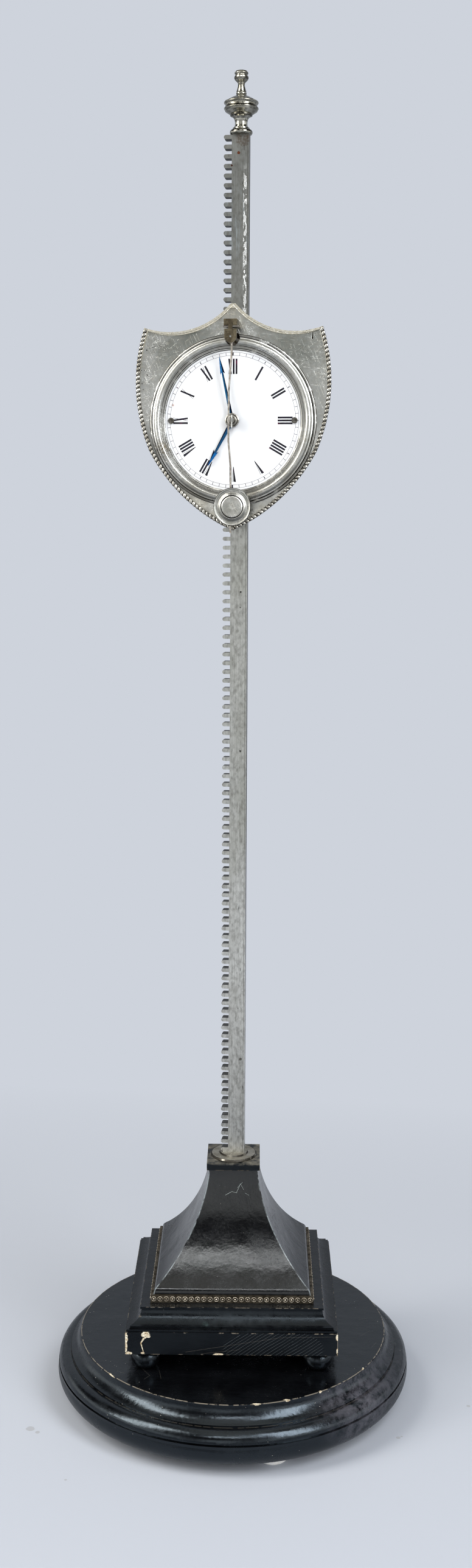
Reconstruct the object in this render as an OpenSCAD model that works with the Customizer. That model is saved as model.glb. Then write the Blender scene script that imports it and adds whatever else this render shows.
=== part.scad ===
// Rack clock: the clock head sinks down a fixed toothed rack and its own weight drives it.
// Millimetres. The front faces -Y, +X is to the right, +Z is up.
// The origin is under the middle of the round base, on the surface that the clock stands on.

/* [Round base] */
// Radius of the round base at its widest
base_r = 84.7; // [84:0.1:95]
// Radius of the flat top of the round base
base_top_r = 73.5; // [70:0.1:74.5]
// Height of the round base's flat top above the ground
base_top_z = 29.7; // [29:0.1:34]
// Radius of each furniture glide under the base
pad_r = 7.2; // [4:0.1:9]
// Height of each furniture glide
pad_h = 4.6; // [3:0.1:6]
// Radius of the circle that the glides stand on
pad_circle_r = 68; // [50:0.5:69]

/* [Pedestal] */
// Angle that the square pedestal stands turned from the rack
pedestal_turn = 6.5; // [0:0.5:10]
// Largest radius of a bun foot
foot_r = 7; // [6.2:0.1:8]
// Height of a bun foot
foot_h = 10; // [9:0.1:12]
// Distance of each bun foot from the middle line
foot_at = 39.7; // [34:0.1:40.5]
// Half the width of the plinth slab
slab_half = 48.5; // [48:0.1:50]
// Thickness of the plinth slab
slab_t = 10.7; // [8:0.1:14]
// Half the width of the moulding's upper ledge
ledge_half = 42.1; // [41:0.1:43]
// Height of the moulding between the slab and the pyramid
moulding_h = 9.1; // [8.5:0.1:11]
// Half the width of the hollow-sided pyramid at its foot
pyramid_half = 36.3; // [34:0.1:38]
// Height of the upright lip at the pyramid's foot
lip_h = 5.1; // [3:0.1:7]
// Half the width of the pyramid at its top
neck_half = 11.4; // [10.5:0.1:12]
// Height of the hollow stretch of the pyramid
hollow_h = 48.8; // [44:0.1:54]
// How far the pyramid's sides are hollowed, measured from their chord
hollow_in = 5.3; // [3:0.1:7]
// Height of the metal strip round the pyramid's foot
strip_h = 3.4; // [2:0.1:4.5]
// Thickness of that strip
strip_t = 1.2; // [0.5:0.1:1.5]
// Half the width of the square cap block
cap_half = 12.5; // [12.2:0.1:13.5]
// Thickness of the cap block
cap_t = 3.3; // [2.5:0.1:5]
// Radius of the turned collar on the cap
collar_r = 10.9; // [8:0.1:11.8]
// Thickness of the collar's outer step
collar_t = 1; // [0.6:0.1:2]
// Radius of the collar's raised middle
boss_r = 6.6; // [5:0.1:7]
// Height of the collar's raised middle
boss_t = 0.7; // [0.4:0.1:1.5]

/* [Rack] */
// Distance from one rack tooth to the next
rack_pitch = 4; // [3.9:0.01:4.1]
// Number of rack teeth
rack_teeth = 116; // [100:1:120]
// Width of the rack's bar behind its teeth
bar_w = 7.6; // [7:0.1:9]
// Length of a rack tooth
tooth_len = 3.5; // [3.3:0.05:3.7]
// Thickness of a rack tooth
tooth_t = 1.8; // [1.4:0.05:1.8]
// Depth of the rack from front to back
rack_d = 4.4; // [3.6:0.1:4.6]
// Distance of the bar's middle line from the middle of the base
rack_x = 1.4; // [0:0.1:2]
// Radius of the stud that holds the rack in the pedestal
stud_r = 2; // [1.5:0.1:2.5]
// Depth of that stud below the collar
stud_len = 26; // [15:1:35]
// Height of the turned finial
finial_h = 26.5; // [25:0.1:28]
// Radius of the finial's bowl
finial_r = 7.5; // [7:0.1:8.5]

/* [Clock head] */
// Height of the middle of the dial above the ground
head_z = 458; // [380:1:490]
// Diameter of the enamelled dial
dial_d = 60; // [58:0.1:60.4]
// Thickness of the enamelled dial
dial_t = 1.2; // [0.8:0.1:1.6]
// Outer radius of the bezel
bezel_r = 36.2; // [36:0.1:37]
// Thickness of the shield plate
shield_t = 0.8; // [0.6:0.1:1.2]
// Height of the raised rim along the shield's edge
rim_h = 1.1; // [0.6:0.1:1.6]
// Radius of the two movement plates
plate_r = 31.5; // [31.2:0.1:33.5]
// Thickness of the two movement plates
plate_t = 1.4; // [1:0.1:1.8]
// Clear space between the plates
plate_gap = 12; // [12:0.1:14]
// Space between the front plate and the shield
work_gap = 3.4; // [3.4:0.1:4.2]
// Gap between the rack and the back plate
rack_gap = 2.8; // [2.6:0.1:4]

/* [Pendulum] */
// Height of the pendulum's pivot above the middle of the dial
pivot_up = 34.2; // [34:0.1:34.6]
// Distance from the pivot to the middle of the bob
bob_drop = 70.9; // [68:0.1:72]
// Radius of the bob
bob_r = 8.1; // [7.5:0.1:8.5]
// Sideways offset of the bob's disc from its wire
bob_offset = 0.8; // [0:0.1:1]
// Radius of the pendulum wire
wire_r = 0.42; // [0.35:0.01:0.5]
// Length of the wire below the middle of the bob
wire_tail = 11.1; // [10.5:0.1:14]
// How far the wire is bowed to the left
wire_bow = 1; // [0:0.1:1.5]
// Radius of the clearance hole round the pendulum's pivot
pivot_hole_r = 3.1; // [2.6:0.1:3.6]

/* [Hands] */
// Length of the minute hand from the middle of the dial
minute_len = 27; // [24:0.1:28]
// Length of the hour hand from the middle of the dial
hour_len = 21.8; // [18:0.1:23]
// Angle of the minute hand, clockwise from twelve
minute_at = 348; // [0:1:359]
// Angle of the hour hand, clockwise from twelve
hour_at = 209; // [0:1:359]

/* [Wheel train] */
// Radial clearance of pivots and pipes
pivot_clear = 0.05; // [0.03:0.01:0.08]

/* [Hidden] */
$fn = 96;
eps = 0.01;

// Heights of the stand, from the ground up
slab_z = base_top_z + foot_h;
moulding_z = slab_z + slab_t;
pyramid_z = moulding_z + moulding_h;
lip_z = pyramid_z + lip_h;
cap_z = lip_z + hollow_h;
collar_z = cap_z + cap_t;
rack_z = collar_z + collar_t + boss_t;

// Rack
tooth_r = tooth_t / 2;
first_tooth = rack_z + 1.3;
rack_len = 1.3 + (rack_teeth - 1) * rack_pitch + tooth_r + 0.1;
rack_top = rack_z + rack_len;
rack_front = -rack_d / 2;
mesh_in = 1.2;

// Depths of the head, from the rack forwards: a larger value lies further back
back_back = rack_front - rack_gap;
back_front = back_back - plate_t;
front_back = back_front - plate_gap;
front_front = front_back - plate_t;
shield_back = front_front - work_gap;
shield_front = shield_back - shield_t;
dial_front = shield_front - dial_t;
rod_y = dial_front - 6.2;
leaf_back = rod_y - 1.2;
leaf_t = 1.4;
leaf_front = leaf_back - leaf_t;
shake = 0.1;
bridge_t = 1.4;
bridge_front = rack_d / 2 + 1;
bridge_back = bridge_front + bridge_t;

// Numbers of teeth and leaves: together they give twelve turns of the minute hand for one of the hour hand
rack_leaves = 12;
great_teeth = 48;
centre_leaves = 16;
train_teeth = 60;
train_leaves = 10;
escape_teeth = 31;
ratchet_teeth = 20;

// Places of the arbors, as [right, up] from the middle of the dial
pinion_r = rack_leaves * rack_pitch / 2 / PI;
great_m = 0.5;
centre_m = 0.4;
third_m = 0.36;
fourth_m = 0.32;
work_m = 0.35;
hour_m = 0.28;
great_reach = (great_teeth + centre_leaves) / 2 * great_m;
third_reach = (train_teeth + train_leaves) / 2 * centre_m;
fourth_reach = (train_teeth + train_leaves) / 2 * third_m;
escape_reach = (train_teeth + train_leaves) / 2 * fourth_m;
pitch_line_x = -bar_w / 2 - tooth_len + mesh_in;
great_x = pitch_line_x - pinion_r;
centre_at = [0, 0];
great_at = [great_x, -sqrt(pow(great_reach, 2) - pow(great_x, 2))];
pallet_at = [0, pivot_up];
escape_r = 7.27;
pallet_half = 6.5 / 2 * 360 / escape_teeth;
pallet_reach = escape_r / cos(pallet_half);
escape_at = pallet_at - [0, pallet_reach];
fourth_at = escape_at + escape_reach * [cos(-40.5), sin(-40.5)];
third_at = meet(centre_at, third_reach, fourth_at, fourth_reach);
minute_leaves = 12;
minute_teeth = 36;
hour_teeth = 48;
work_reach = (minute_leaves + minute_teeth) / 2 * work_m;
post_at = work_reach * [cos(-45), sin(-45)];

// Depth of each wheel, as the distance of its back face in front of the back plate
great_layer = 0.9;
ratchet_layer = 2.9;
centre_layer = 5;
escape_layer = 4.7;
third_layer = 7.2;
fourth_layer = 9.4;
wheel_t = 0.9;
fine_t = 0.6;
great_t = 1.4;
ratchet_t = 1.2;

// Posts, pillars and rollers
pillar_r = 1.6;
pillar_ring = plate_r - 2.5;
pillar_angles = [39, 141, -32, -130];
dial_screw_at = 26.8;
shield_posts = [[-14, -23], [14, -23]];
bridge_left = great_at[0] - 11.5;
bridge_right = bar_w / 2 + 11.6;
bridge_top = great_at[1] + 13;
bridge_low = great_at[1] - 13;
bridge_inset = 2.5;
bridge_posts = [for (x = [bridge_left + bridge_inset, bridge_right - bridge_inset],
    z = [bridge_low + bridge_inset, bridge_top - bridge_inset]) [x, z]];
roller_r = 3.2;
roller_gap = 0.2;
roller_x = bar_w / 2 + roller_gap + roller_r;
roller_up = [roller_x, great_at[1] + 8];
roller_low = [roller_x, great_at[1] - 8];
guide_gap = 0.25;
guide_wall = 1.5;
guide_h = 6;
guide_up = 25;

// Radii of arbors and pivots
arbor_r = 0.9;
fine_pivot_r = 0.4;
great_arbor_r = 1.8;
great_pivot_r = 1;
centre_arbor_r = 1.3;
centre_tip_r = 0.75;
cannon_r = 1.25;
hour_pipe_r = 2;

// Turns that bring the teeth into mesh, in degrees seen from the front
rack_phase = (first_tooth - head_z - great_at[1] - rack_pitch / 2) / pinion_r * 180 / PI;
great_phase = 3;
centre_phase = mesh_turn(great_phase, great_teeth, bearing(great_at, centre_at), centre_leaves);
centre_wheel_phase = 2;
third_phase = mesh_turn(centre_wheel_phase, train_teeth, bearing(centre_at, third_at), train_leaves);
third_wheel_phase = 1;
fourth_phase = mesh_turn(third_wheel_phase, train_teeth, bearing(third_at, fourth_at), train_leaves);
fourth_wheel_phase = 0;
escape_phase = mesh_turn(fourth_wheel_phase, train_teeth, bearing(fourth_at, escape_at), train_leaves);
cannon_phase = 0;
minute_phase = mesh_turn(cannon_phase, minute_leaves, bearing(centre_at, post_at), minute_teeth);
minute_leaf_phase = 0;
hour_phase = mesh_turn(minute_leaf_phase, minute_leaves, bearing(post_at, centre_at), hour_teeth);

// Point where circles about p and q meet, on the right of the way from p to q
function meet(p, rp, q, rq) =
    let (d = norm(q - p), a = (rp * rp - rq * rq + d * d) / 2 / d, h = sqrt(rp * rp - a * a), u = (q - p) / d)
    p + a * u + h * [u[1], -u[0]];

// Direction from p to q in degrees
function bearing(p, q) = atan2(q[1] - p[1], q[0] - p[0]);

// Turn of a wheel of nb teeth that meshes with one of na teeth turned by a, which lies in direction way
function mesh_turn(a, na, way, nb) = way + 180 - (a - way) * na / nb - 180 / nb;

// Point at radius r and angle a
function polar(r, a) = [r * cos(a), r * sin(a)];

// Points along an arc
function arc(c, r, a0, a1, n) = [for (i = [0:n]) c + polar(r, a0 + (a1 - a0) * i / n)];

// Outline of a toothed wheel: points of one tooth, each as [radius, angle], repeated round it
function toothed_outline(n, turn, tooth) = [for (i = [0:n - 1]) for (q = tooth)
    polar(q[0], turn + i * 360 / n + q[1])];

// One side of a tooth as [radius, half its angle], mirrored into a whole tooth
function whole_tooth(side) = concat([for (q = side) [q[0], -q[1]]], [for (i = [len(side) - 1:-1:0]) side[i]]);

// Draws a flat shape that stands upright: its back face lies at y and it is t thick, towards the front
module upright(y, t) {
    translate([0, y, 0]) rotate([90, 0, 0]) linear_extrude(t) children();
}

// Turns a profile of [radius, distance forwards] about an axis along Y through p, from y forwards
module turned(p, y) {
    translate([p[0], y, p[1]]) rotate([90, 0, 0]) rotate_extrude() children();
}

// Round rod along Y at p, from y0 at the back to y1 at the front
module rod(p, y0, y1, r) {
    translate([p[0], y0, p[1]]) rotate([90, 0, 0]) cylinder(h = y0 - y1, r = r);
}

// Puts a piece on the clock head
module on_head() {
    translate([rack_x, 0, head_z]) children();
}

// Puts a piece on the square pedestal
module on_pedestal() {
    rotate([0, 0, pedestal_turn]) children();
}

// Spur wheel teeth with straight flanks and pointed tops
module wheel_teeth(n, m, turn) {
    r = n * m / 2;
    step = 360 / n;
    polygon(toothed_outline(n, turn, whole_tooth([
        [r - 1.25 * m, 0.235 * step], [r, 0.215 * step], [r + 0.5 * m, 0.15 * step], [r + 0.9 * m, 0.05 * step]])));
}

// Pinion leaves: slimmer than the wheel's teeth, with rounded tops
module leaf_teeth(n, m, turn) {
    r = n * m / 2;
    step = 360 / n;
    polygon(toothed_outline(n, turn, whole_tooth([
        [r - 1.3 * m, 0.2 * step], [r, 0.19 * step], [r + 0.4 * m, 0.14 * step], [r + 0.7 * m, 0.05 * step]])));
}

// Flat wheel with a rim, a hub and arms, bored for its arbor
module crossed_wheel(n, m, turn, bore_r, hub_r, rim_w, arms, arm_w) {
    inner_r = n * m / 2 - 1.25 * m - rim_w;
    difference() {
        union() {
            difference() {
                wheel_teeth(n, m, turn);
                circle(inner_r);
            }
            circle(hub_r);
            for (i = [0:arms - 1]) {
                rotate(turn + i * 360 / arms) translate([0, -arm_w / 2]) square([inner_r + rim_w / 2, arm_w]);
            }
        }
        circle(bore_r);
    }
}

// Slotted cheese-head screw along Y: the head's front face is at y, the shank runs back
module head_screw(p, y, head_r, head_t, shank_r, shank_len) {
    difference() {
        union() {
            rod(p, y + head_t, y, head_r);
            rod(p, y + head_t + shank_len, y + head_t, shank_r);
        }
        translate([p[0] - head_r - 1, y - 1, p[1] - head_r * 0.14])
            cube([2 * head_r + 2, 1 + head_t * 0.45, head_r * 0.28]);
    }
}

// The same screw put in from the back: the head's back face is at y, the shank runs forwards
module back_screw(p, y, head_r, head_t, shank_r, shank_len) {
    difference() {
        union() {
            rod(p, y, y - head_t, head_r);
            rod(p, y - head_t, y - head_t - shank_len, shank_r);
        }
        translate([p[0] - head_r - 1, y - head_t * 0.45, p[1] - head_r * 0.14])
            cube([2 * head_r + 2, 1 + head_t * 0.45, head_r * 0.28]);
    }
}

// Round base

roll_r = 7.9;
wall_z = pad_h + 11.3;
ovolo_r = 4.8;
ovolo_z = pad_h + 12.2;
shelf_z = ovolo_z + ovolo_r;
shelf_r = base_r - 6.4;
hollow_foot_z = shelf_z + 0.6;
edge_t = 0.7;
sweep_r = base_top_z - edge_t - hollow_foot_z;
head_seat_z = pad_h + 4;

module round_base() {
    color("#17181b") difference() {
        rotate_extrude() difference() {
            union() {
                square_to(base_r - roll_r, pad_h, shelf_z);
                translate([base_r - roll_r, pad_h + roll_r]) circle(roll_r);
                square_to(base_r - 0.3, pad_h + roll_r, wall_z);
                intersection() {
                    translate([base_r - 0.5 - ovolo_r, ovolo_z]) circle(ovolo_r);
                    square_to(base_r, ovolo_z, shelf_z + 1);
                }
                square_to(shelf_r, shelf_z - 1, base_top_z - edge_t);
                square_to(base_top_r, shelf_z, base_top_z);
            }
            translate([base_top_r + sweep_r + 0.05, base_top_z - edge_t]) intersection() {
                circle(sweep_r, $fn = 128);
                translate([-2 * sweep_r, -2 * sweep_r]) square([4 * sweep_r, 2 * sweep_r]);
            }
            translate([base_r - 1.3, wall_z]) square([5, ovolo_z - wall_z]);
        }
        for (p = foot_places()) {
            on_pedestal() translate([p[0], p[1], 0]) {
                translate([0, 0, pad_h - 1])
                    cylinder(h = head_seat_z - pad_h + 1, r = screw_head_r + screw_clear);
                cylinder(h = base_top_z + 1, r = screw_r + screw_clear);
            }
        }
    }
}

// Rectangle from the axis out to radius r, between two heights
module square_to(r, z0, z1) {
    translate([0, z0]) square([r, z1 - z0]);
}

pad_first = 22.5;

module base_pads() {
    color("#e9e6dd") for (i = [0:2]) {
        rotate([0, 0, pad_first - 90 + i * 120]) translate([pad_circle_r, 0, 0])
            rotate_extrude() polygon([[0, 0], [pad_r - 0.8, 0], [pad_r, 0.8], [pad_r, pad_h], [0, pad_h]]);
    }
}

// Pedestal

screw_r = 1.6;
screw_clear = 0.1;
screw_head_r = 3.2;

function foot_places() = [for (x = [-foot_at, foot_at], y = [-foot_at, foot_at]) [x, y]];

module ball_feet() {
    color("#1b1b1d") on_pedestal() for (p = foot_places()) {
        translate([p[0], p[1], base_top_z]) rotate_extrude() difference() {
            union() {
                square([foot_r - foot_h / 2, foot_h]);
                translate([foot_r - foot_h / 2, foot_h / 2]) circle(foot_h / 2);
            }
            translate([-foot_h, -1]) square([foot_h + screw_r + screw_clear, foot_h + 2]);
        }
    }
}

module foot_screws() {
    head_z0 = head_seat_z - 2.4;
    color("#8d8a80") on_pedestal() for (p = foot_places()) {
        translate([p[0], p[1], 0]) difference() {
            union() {
                translate([0, 0, head_z0]) cylinder(h = 2.4, r = screw_head_r);
                translate([0, 0, head_z0 + 1]) cylinder(h = slab_z + slab_t - 3 - head_z0 - 1, r = screw_r);
            }
            translate([-5, -0.5, head_z0 - 1]) cube([10, 1, 2]);
        }
    }
}

module plinth_slab() {
    color("#15161a") on_pedestal() difference() {
        translate([-slab_half, -slab_half, slab_z]) cube([2 * slab_half, 2 * slab_half, slab_t]);
        for (p = foot_places()) {
            translate([p[0], p[1], slab_z - 1]) cylinder(h = slab_t - 2, r = screw_r);
        }
    }
}

// Solid whose four sides all have the same profile, mitred at the corners
module four_sided(half) {
    intersection() {
        translate([0, half, 0]) rotate([90, 0, 0]) linear_extrude(2 * half) children();
        translate([-half, 0, 0]) rotate([90, 0, 90]) linear_extrude(2 * half) children();
    }
}

moulding_foot = slab_half - 0.5;
cove_low = slab_half - 1.7;

cove_top = pyramid_z - 0.9;
cove_r = cove_low + 1.4 - ledge_half;

module plinth_moulding() {
    color("#1a1b1e") on_pedestal() four_sided(slab_half) difference() {
        polygon(both_sides([[moulding_foot, moulding_z], [moulding_foot, moulding_z + 1],
            [cove_low - 0.5, moulding_z + 1.2], [cove_low - 0.5, moulding_z + 1.9], [cove_low, moulding_z + 2.1],
            [cove_low, cove_top], [ledge_half, cove_top], [ledge_half, pyramid_z]]));
        for (s = [-1, 1]) {
            translate([s * (cove_low + 0.7), cove_top]) intersection() {
                circle(cove_r);
                translate([-2 * cove_r, -2 * cove_r]) square([4 * cove_r, 2 * cove_r]);
            }
        }
    }
}

// Closed outline from the right half of a symmetrical profile, listed from the bottom up
function both_sides(half) = concat(half, [for (i = [len(half) - 1:-1:0]) [-half[i][0], half[i][1]]]);

strip_clear = 0.05;

module beaded_strip() {
    inner = pyramid_half + strip_clear;
    outer = inner + strip_t;
    color("#8b7c62") on_pedestal() translate([0, 0, pyramid_z]) difference() {
        translate([-outer, -outer, 0]) cube([2 * outer, 2 * outer, strip_h]);
        translate([-inner, -inner, -1]) cube([2 * inner, 2 * inner, strip_h + 2]);
    }
}

// The hollow of the pyramid's side is one arc: its chord, its radius and its centre
chord = [neck_half - pyramid_half, hollow_h];
chord_len = norm(chord);
hollow_r = (pow(chord_len / 2, 2) + pow(hollow_in, 2)) / 2 / hollow_in;
hollow_c = [(neck_half + pyramid_half) / 2, lip_z + hollow_h / 2]
    + (hollow_r - hollow_in) * [chord[1], -chord[0]] / chord_len;

// The lip turns into the hollow over a small round
lip_r = 3.5;
lip_x = pyramid_half - lip_r - 0.04;
lip_c = [lip_x, hollow_c[1] - sqrt(pow(hollow_r + lip_r, 2) - pow(lip_x - hollow_c[0], 2)) - 0.04];
lip_way = bearing(lip_c, hollow_c);

module pyramid() {
    color("#141518") on_pedestal() difference() {
        four_sided(pyramid_half) difference() {
            translate([-pyramid_half, pyramid_z]) square([2 * pyramid_half, cap_z - pyramid_z]);
            for (s = [0, 1]) {
                mirror([s, 0]) translate(hollow_c) circle(hollow_r, $fn = 360);
                mirror([s, 0]) translate(lip_c) difference() {
                    polygon([[0, 0], [12, 0], polar(12, lip_way / 2), polar(12, lip_way)]);
                    circle(lip_r);
                }
            }
        }
        translate([0, 0, cap_z - stud_len]) cylinder(h = stud_len + 1, r = stud_r);
    }
}

module cap_block() {
    color("#1d1c22") on_pedestal() difference() {
        translate([-cap_half, -cap_half, cap_z]) cube([2 * cap_half, 2 * cap_half, cap_t]);
        translate([0, 0, cap_z - 1]) cylinder(h = cap_t + 2, r = stud_r);
    }
}

module collar() {
    color("#7d7a70") translate([0, 0, collar_z]) rotate_extrude() {
        polygon([[stud_r, 0], [collar_r - 0.3, 0], [collar_r, 0.3], [collar_r - 0.5, collar_t],
            [boss_r, collar_t], [boss_r - 0.2, collar_t + boss_t], [stud_r, collar_t + boss_t]]);
    }
}

// Rack

module rack_profile() {
    translate([-bar_w / 2, rack_z]) square([bar_w, rack_len]);
    translate([-bar_w / 2 - tooth_len + tooth_r, rack_z]) square([tooth_len, 1.3]);
    for (i = [0:rack_teeth - 1]) {
        z = first_tooth + i * rack_pitch;
        translate([-bar_w / 2 - tooth_len + tooth_r, z]) circle(tooth_r, $fn = 32);
        translate([-bar_w / 2 - tooth_len + tooth_r, z - tooth_r]) square([tooth_len, tooth_t]);
    }
}

module rack() {
    color("#8e8f8a") {
        translate([rack_x, 0, 0]) upright(rack_d / 2, rack_d) rack_profile();
        translate([0, 0, cap_z - stud_len + 2]) cylinder(h = rack_z - cap_z + stud_len - 1.5, r = stud_r);
    }
}

// Turned outline of the finial, from its foot to its top
module finial() {
    stem_r = finial_r * 0.36;
    knob_r = finial_r * 0.42;
    bowl_z = finial_h * 0.31;
    rim_z = finial_h * 0.415;
    dome_z = rim_z + 2.4;
    neck_z = finial_h * 0.63;
    cup_z = finial_h * 0.82;
    foot_bead_r = 1.15;
    color("#a3a096") translate([rack_x, 0, rack_top]) rotate_extrude() polygon(concat([[0, 0]],
        arc([finial_r * 0.66 - foot_bead_r, foot_bead_r], foot_bead_r, -90, 65, 7),
        [[stem_r + 1.05, 2.5], [stem_r + 1, 2.9], [stem_r + 0.4, 3.3], [stem_r, 4.2], [stem_r, 5.5],
            [stem_r + 0.3, 6.6], [stem_r + 0.9, 7.4], [finial_r * 0.6, bowl_z - 0.3]],
        [[finial_r * 0.645, bowl_z - 0.15], [finial_r * 0.645, bowl_z + 0.15],
            [finial_r * 0.62, bowl_z + 0.35]],
        [[finial_r * 0.72, bowl_z + 0.7], [finial_r * 0.84, bowl_z + 1.3], [finial_r * 0.93, rim_z - 1.1]],
        arc([finial_r - 0.5, rim_z - 0.05], 0.5, -60, 55, 5),
        arc([finial_r + 0.55, rim_z + 1.25], 1.2, 222, 138, 6),
        arc([finial_r - 0.5, dome_z], 0.5, -55, 60, 5),
        [[finial_r * 0.86, dome_z + 0.75], [finial_r * 0.72, dome_z + 1.45], [finial_r * 0.52, dome_z + 2.2],
            [finial_r * 0.34, dome_z + 2.75], [finial_r * 0.3, neck_z - 0.1]],
        arc([finial_r * 0.22, neck_z + 0.5], 0.65, -60, 60, 5),
        [[finial_r * 0.29, neck_z + 1.3], [finial_r * 0.25, neck_z + 2.2], [finial_r * 0.205, neck_z + 3.4],
            [finial_r * 0.19, cup_z - 0.9], [finial_r * 0.21, cup_z - 0.2], [finial_r * 0.27, cup_z + 0.3]],
        [[finial_r * 0.35, cup_z + 0.8], [finial_r * 0.4, cup_z + 1.35], [knob_r, cup_z + 1.9],
            [knob_r - 0.1, cup_z + 2.4]],
        [[knob_r - 0.5, cup_z + 2.8], [knob_r - 0.55, cup_z + 3.1]],
        arc([knob_r - 0.65, finial_h - 0.95], 0.5, -60, 60, 5),
        [[knob_r - 0.55, finial_h - 0.35], [knob_r - 0.7, finial_h - 0.1], [knob_r - 1, finial_h],
            [0, finial_h]]));
}

// Shield, bezel and dial

// Each arc of the outline is given by its radius and by how near it comes to the middle of the dial
side_r = 73.6;
side_near = bezel_r + 2.2;
side_c = polar(side_r - side_near, 26.86);
flank_r = 75.7;
flank_near = bezel_r + 1.5;
flank_c = polar(flank_r - flank_near, 36.66);
crest_r = 34.8;
crest_low = bezel_r + 1;
crest_c = [27, crest_low + crest_r];
crest_z = 48.8;

// Where a disc and its mirror image both cover the ground
module both_discs(c, r) {
    intersection() {
        translate(c) circle(r, $fn = 360);
        mirror([1, 0]) translate(c) circle(r, $fn = 360);
    }
}

module shield_outline() {
    difference() {
        intersection() {
            translate([-60, -60]) square([120, 60 + crest_z]);
            both_discs(side_c, side_r);
            both_discs(flank_c, flank_r);
        }
        for (s = [-1, 1]) {
            translate([s * crest_c[0], crest_c[1]]) circle(crest_r, $fn = 180);
        }
    }
}

screw_hole_r = 0.8;
motion_hole_r = 9;

module pivot_hole() {
    rod(pallet_at, shield_back + 5, rod_y, pivot_hole_r);
}

module shield() {
    color("#a7a59c") on_head() difference() {
        upright(shield_back, shield_t) shield_outline();
        rod(centre_at, shield_back + 1, shield_front - 1, motion_hole_r);
        pivot_hole();
        for (p = dial_screw_places()) {
            rod(p, shield_back + 1, shield_front - 1, screw_hole_r);
        }
        for (p = shield_posts) {
            rod(p, shield_back + 1, shield_front - 1, 2);
        }
        rod(cock_screw_at, shield_back + 1, shield_front - 1, screw_hole_r);
    }
}

rim_gap = 0.1;
rim_share = (bezel_r + rim_gap) / flank_near;

module edge_rim() {
    color("#b3b0a4") on_head() upright(shield_front, rim_h) difference() {
        shield_outline();
        scale([rim_share, rim_share]) shield_outline();
    }
}

dial_lap = 0.55;
dial_clear = 0.1;
lip_t = 0.25;
crown_r = 1.4;
crown_h = 2;
// Width over which the bezel's mouldings are drawn; they shrink or spread with the ring
bezel_full_w = 6.75;

module bezel() {
    opening = dial_d / 2 - dial_lap;
    seat = dial_d / 2 + dial_clear;
    full = (bezel_r - opening) / bezel_full_w;
    crown_at = bezel_r - 3.4 * full;
    color("#b4b2a9") on_head() difference() {
        turned(centre_at, shield_front) {
            polygon([[seat, 0], [bezel_r, 0], [bezel_r, 0.9], [bezel_r - 0.5 * full, 1.15],
                [bezel_r - 1.3 * full, 1.15], [bezel_r - 1.4 * full, 1.9], [bezel_r - 1.9 * full, 2.1],
                [crown_at, 2.3], [opening + 2 * full, 2.4], [opening + 1.8 * full, 2.4],
                [opening + 1.7 * full, 2.05], [opening + 0.8 * full, 1.95], [opening + 0.7 * full, 1.7],
                [opening, dial_t + lip_t], [opening, dial_t], [seat, dial_t]]);
            translate([crown_at, crown_h]) circle(crown_r * full, $fn = 48);
        }
        pivot_hole();
    }
}

function dial_screw_places() = [[-dial_screw_at, 0], [dial_screw_at, 0]];

dial_bore_r = 2.6;

module dial() {
    color("#f4f4f2") on_head() difference() {
        upright(shield_front, dial_t) difference() {
            circle(dial_d / 2);
            circle(dial_bore_r);
        }
        for (p = dial_screw_places()) {
            rod(p, shield_front + 1, dial_front - 1, screw_hole_r);
        }
    }
}

dial_head_t = 0.7;
post_r = 1.8;

module dial_screws() {
    color("#6f6c66") on_head() for (p = dial_screw_places()) {
        head_screw(p, dial_front - dial_head_t, 1.3, dial_head_t, screw_hole_r - 0.1, dial_t + shield_t + 2);
    }
}

module shield_screws() {
    color("#9a938a") on_head() for (p = shield_posts) {
        head_screw(p, shield_front, 1.9, 0.6, screw_hole_r - 0.1, 2.4);
    }
}

// Posts between the front plate and the shield, drilled for their screws
module dial_posts() {
    color("#b08d4a") on_head() for (p = concat(dial_screw_places(), shield_posts)) {
        difference() {
            rod(p, front_front, shield_back, post_r);
            rod(p, shield_back + 2.2, shield_back - 1, screw_hole_r - 0.1);
        }
    }
}

// Movement plates

lobe_r = 8;
lobe_z = pivot_up - 3;

module plate_outline() {
    difference() {
        circle(plate_r);
        translate([-plate_r, -guide_up - guide_h / 2 + 0.5 - plate_r]) square([2 * plate_r, plate_r]);
    }
    translate([-lobe_r, 0]) square([2 * lobe_r, lobe_z]);
    translate([0, lobe_z]) circle(lobe_r);
}

function pillar_places() = [for (a = pillar_angles) polar(pillar_ring, a)];

module back_plate() {
    color("#b5924c") on_head() difference() {
        upright(back_back, plate_t) plate_outline();
        rod(great_at, 0, shield_back, great_arbor_r + pivot_clear);
        rod(centre_at, 0, shield_back, great_pivot_r + pivot_clear);
        for (p = [third_at, fourth_at, escape_at, pallet_at]) {
            rod(p, 0, shield_back, fine_pivot_r + pivot_clear);
        }
        for (p = pillar_places()) {
            rod(p, 0, shield_back, screw_hole_r);
        }
        for (p = concat(bridge_posts, guide_screw_places())) {
            rod(p, 0, shield_back, screw_hole_r - 0.1);
        }
    }
}

module front_plate() {
    color("#b5924c") on_head() difference() {
        upright(front_back, plate_t) plate_outline();
        rod(great_at, 0, shield_back, great_pivot_r + pivot_clear);
        rod(centre_at, 0, shield_back, great_pivot_r + pivot_clear);
        for (p = [third_at, fourth_at, escape_at]) {
            rod(p, 0, shield_back, fine_pivot_r + pivot_clear);
        }
        rod(pallet_at, 0, shield_back, pivot_hole_r);
        for (p = pillar_places()) {
            rod(p, 0, shield_back, screw_hole_r);
        }
    }
}

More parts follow.
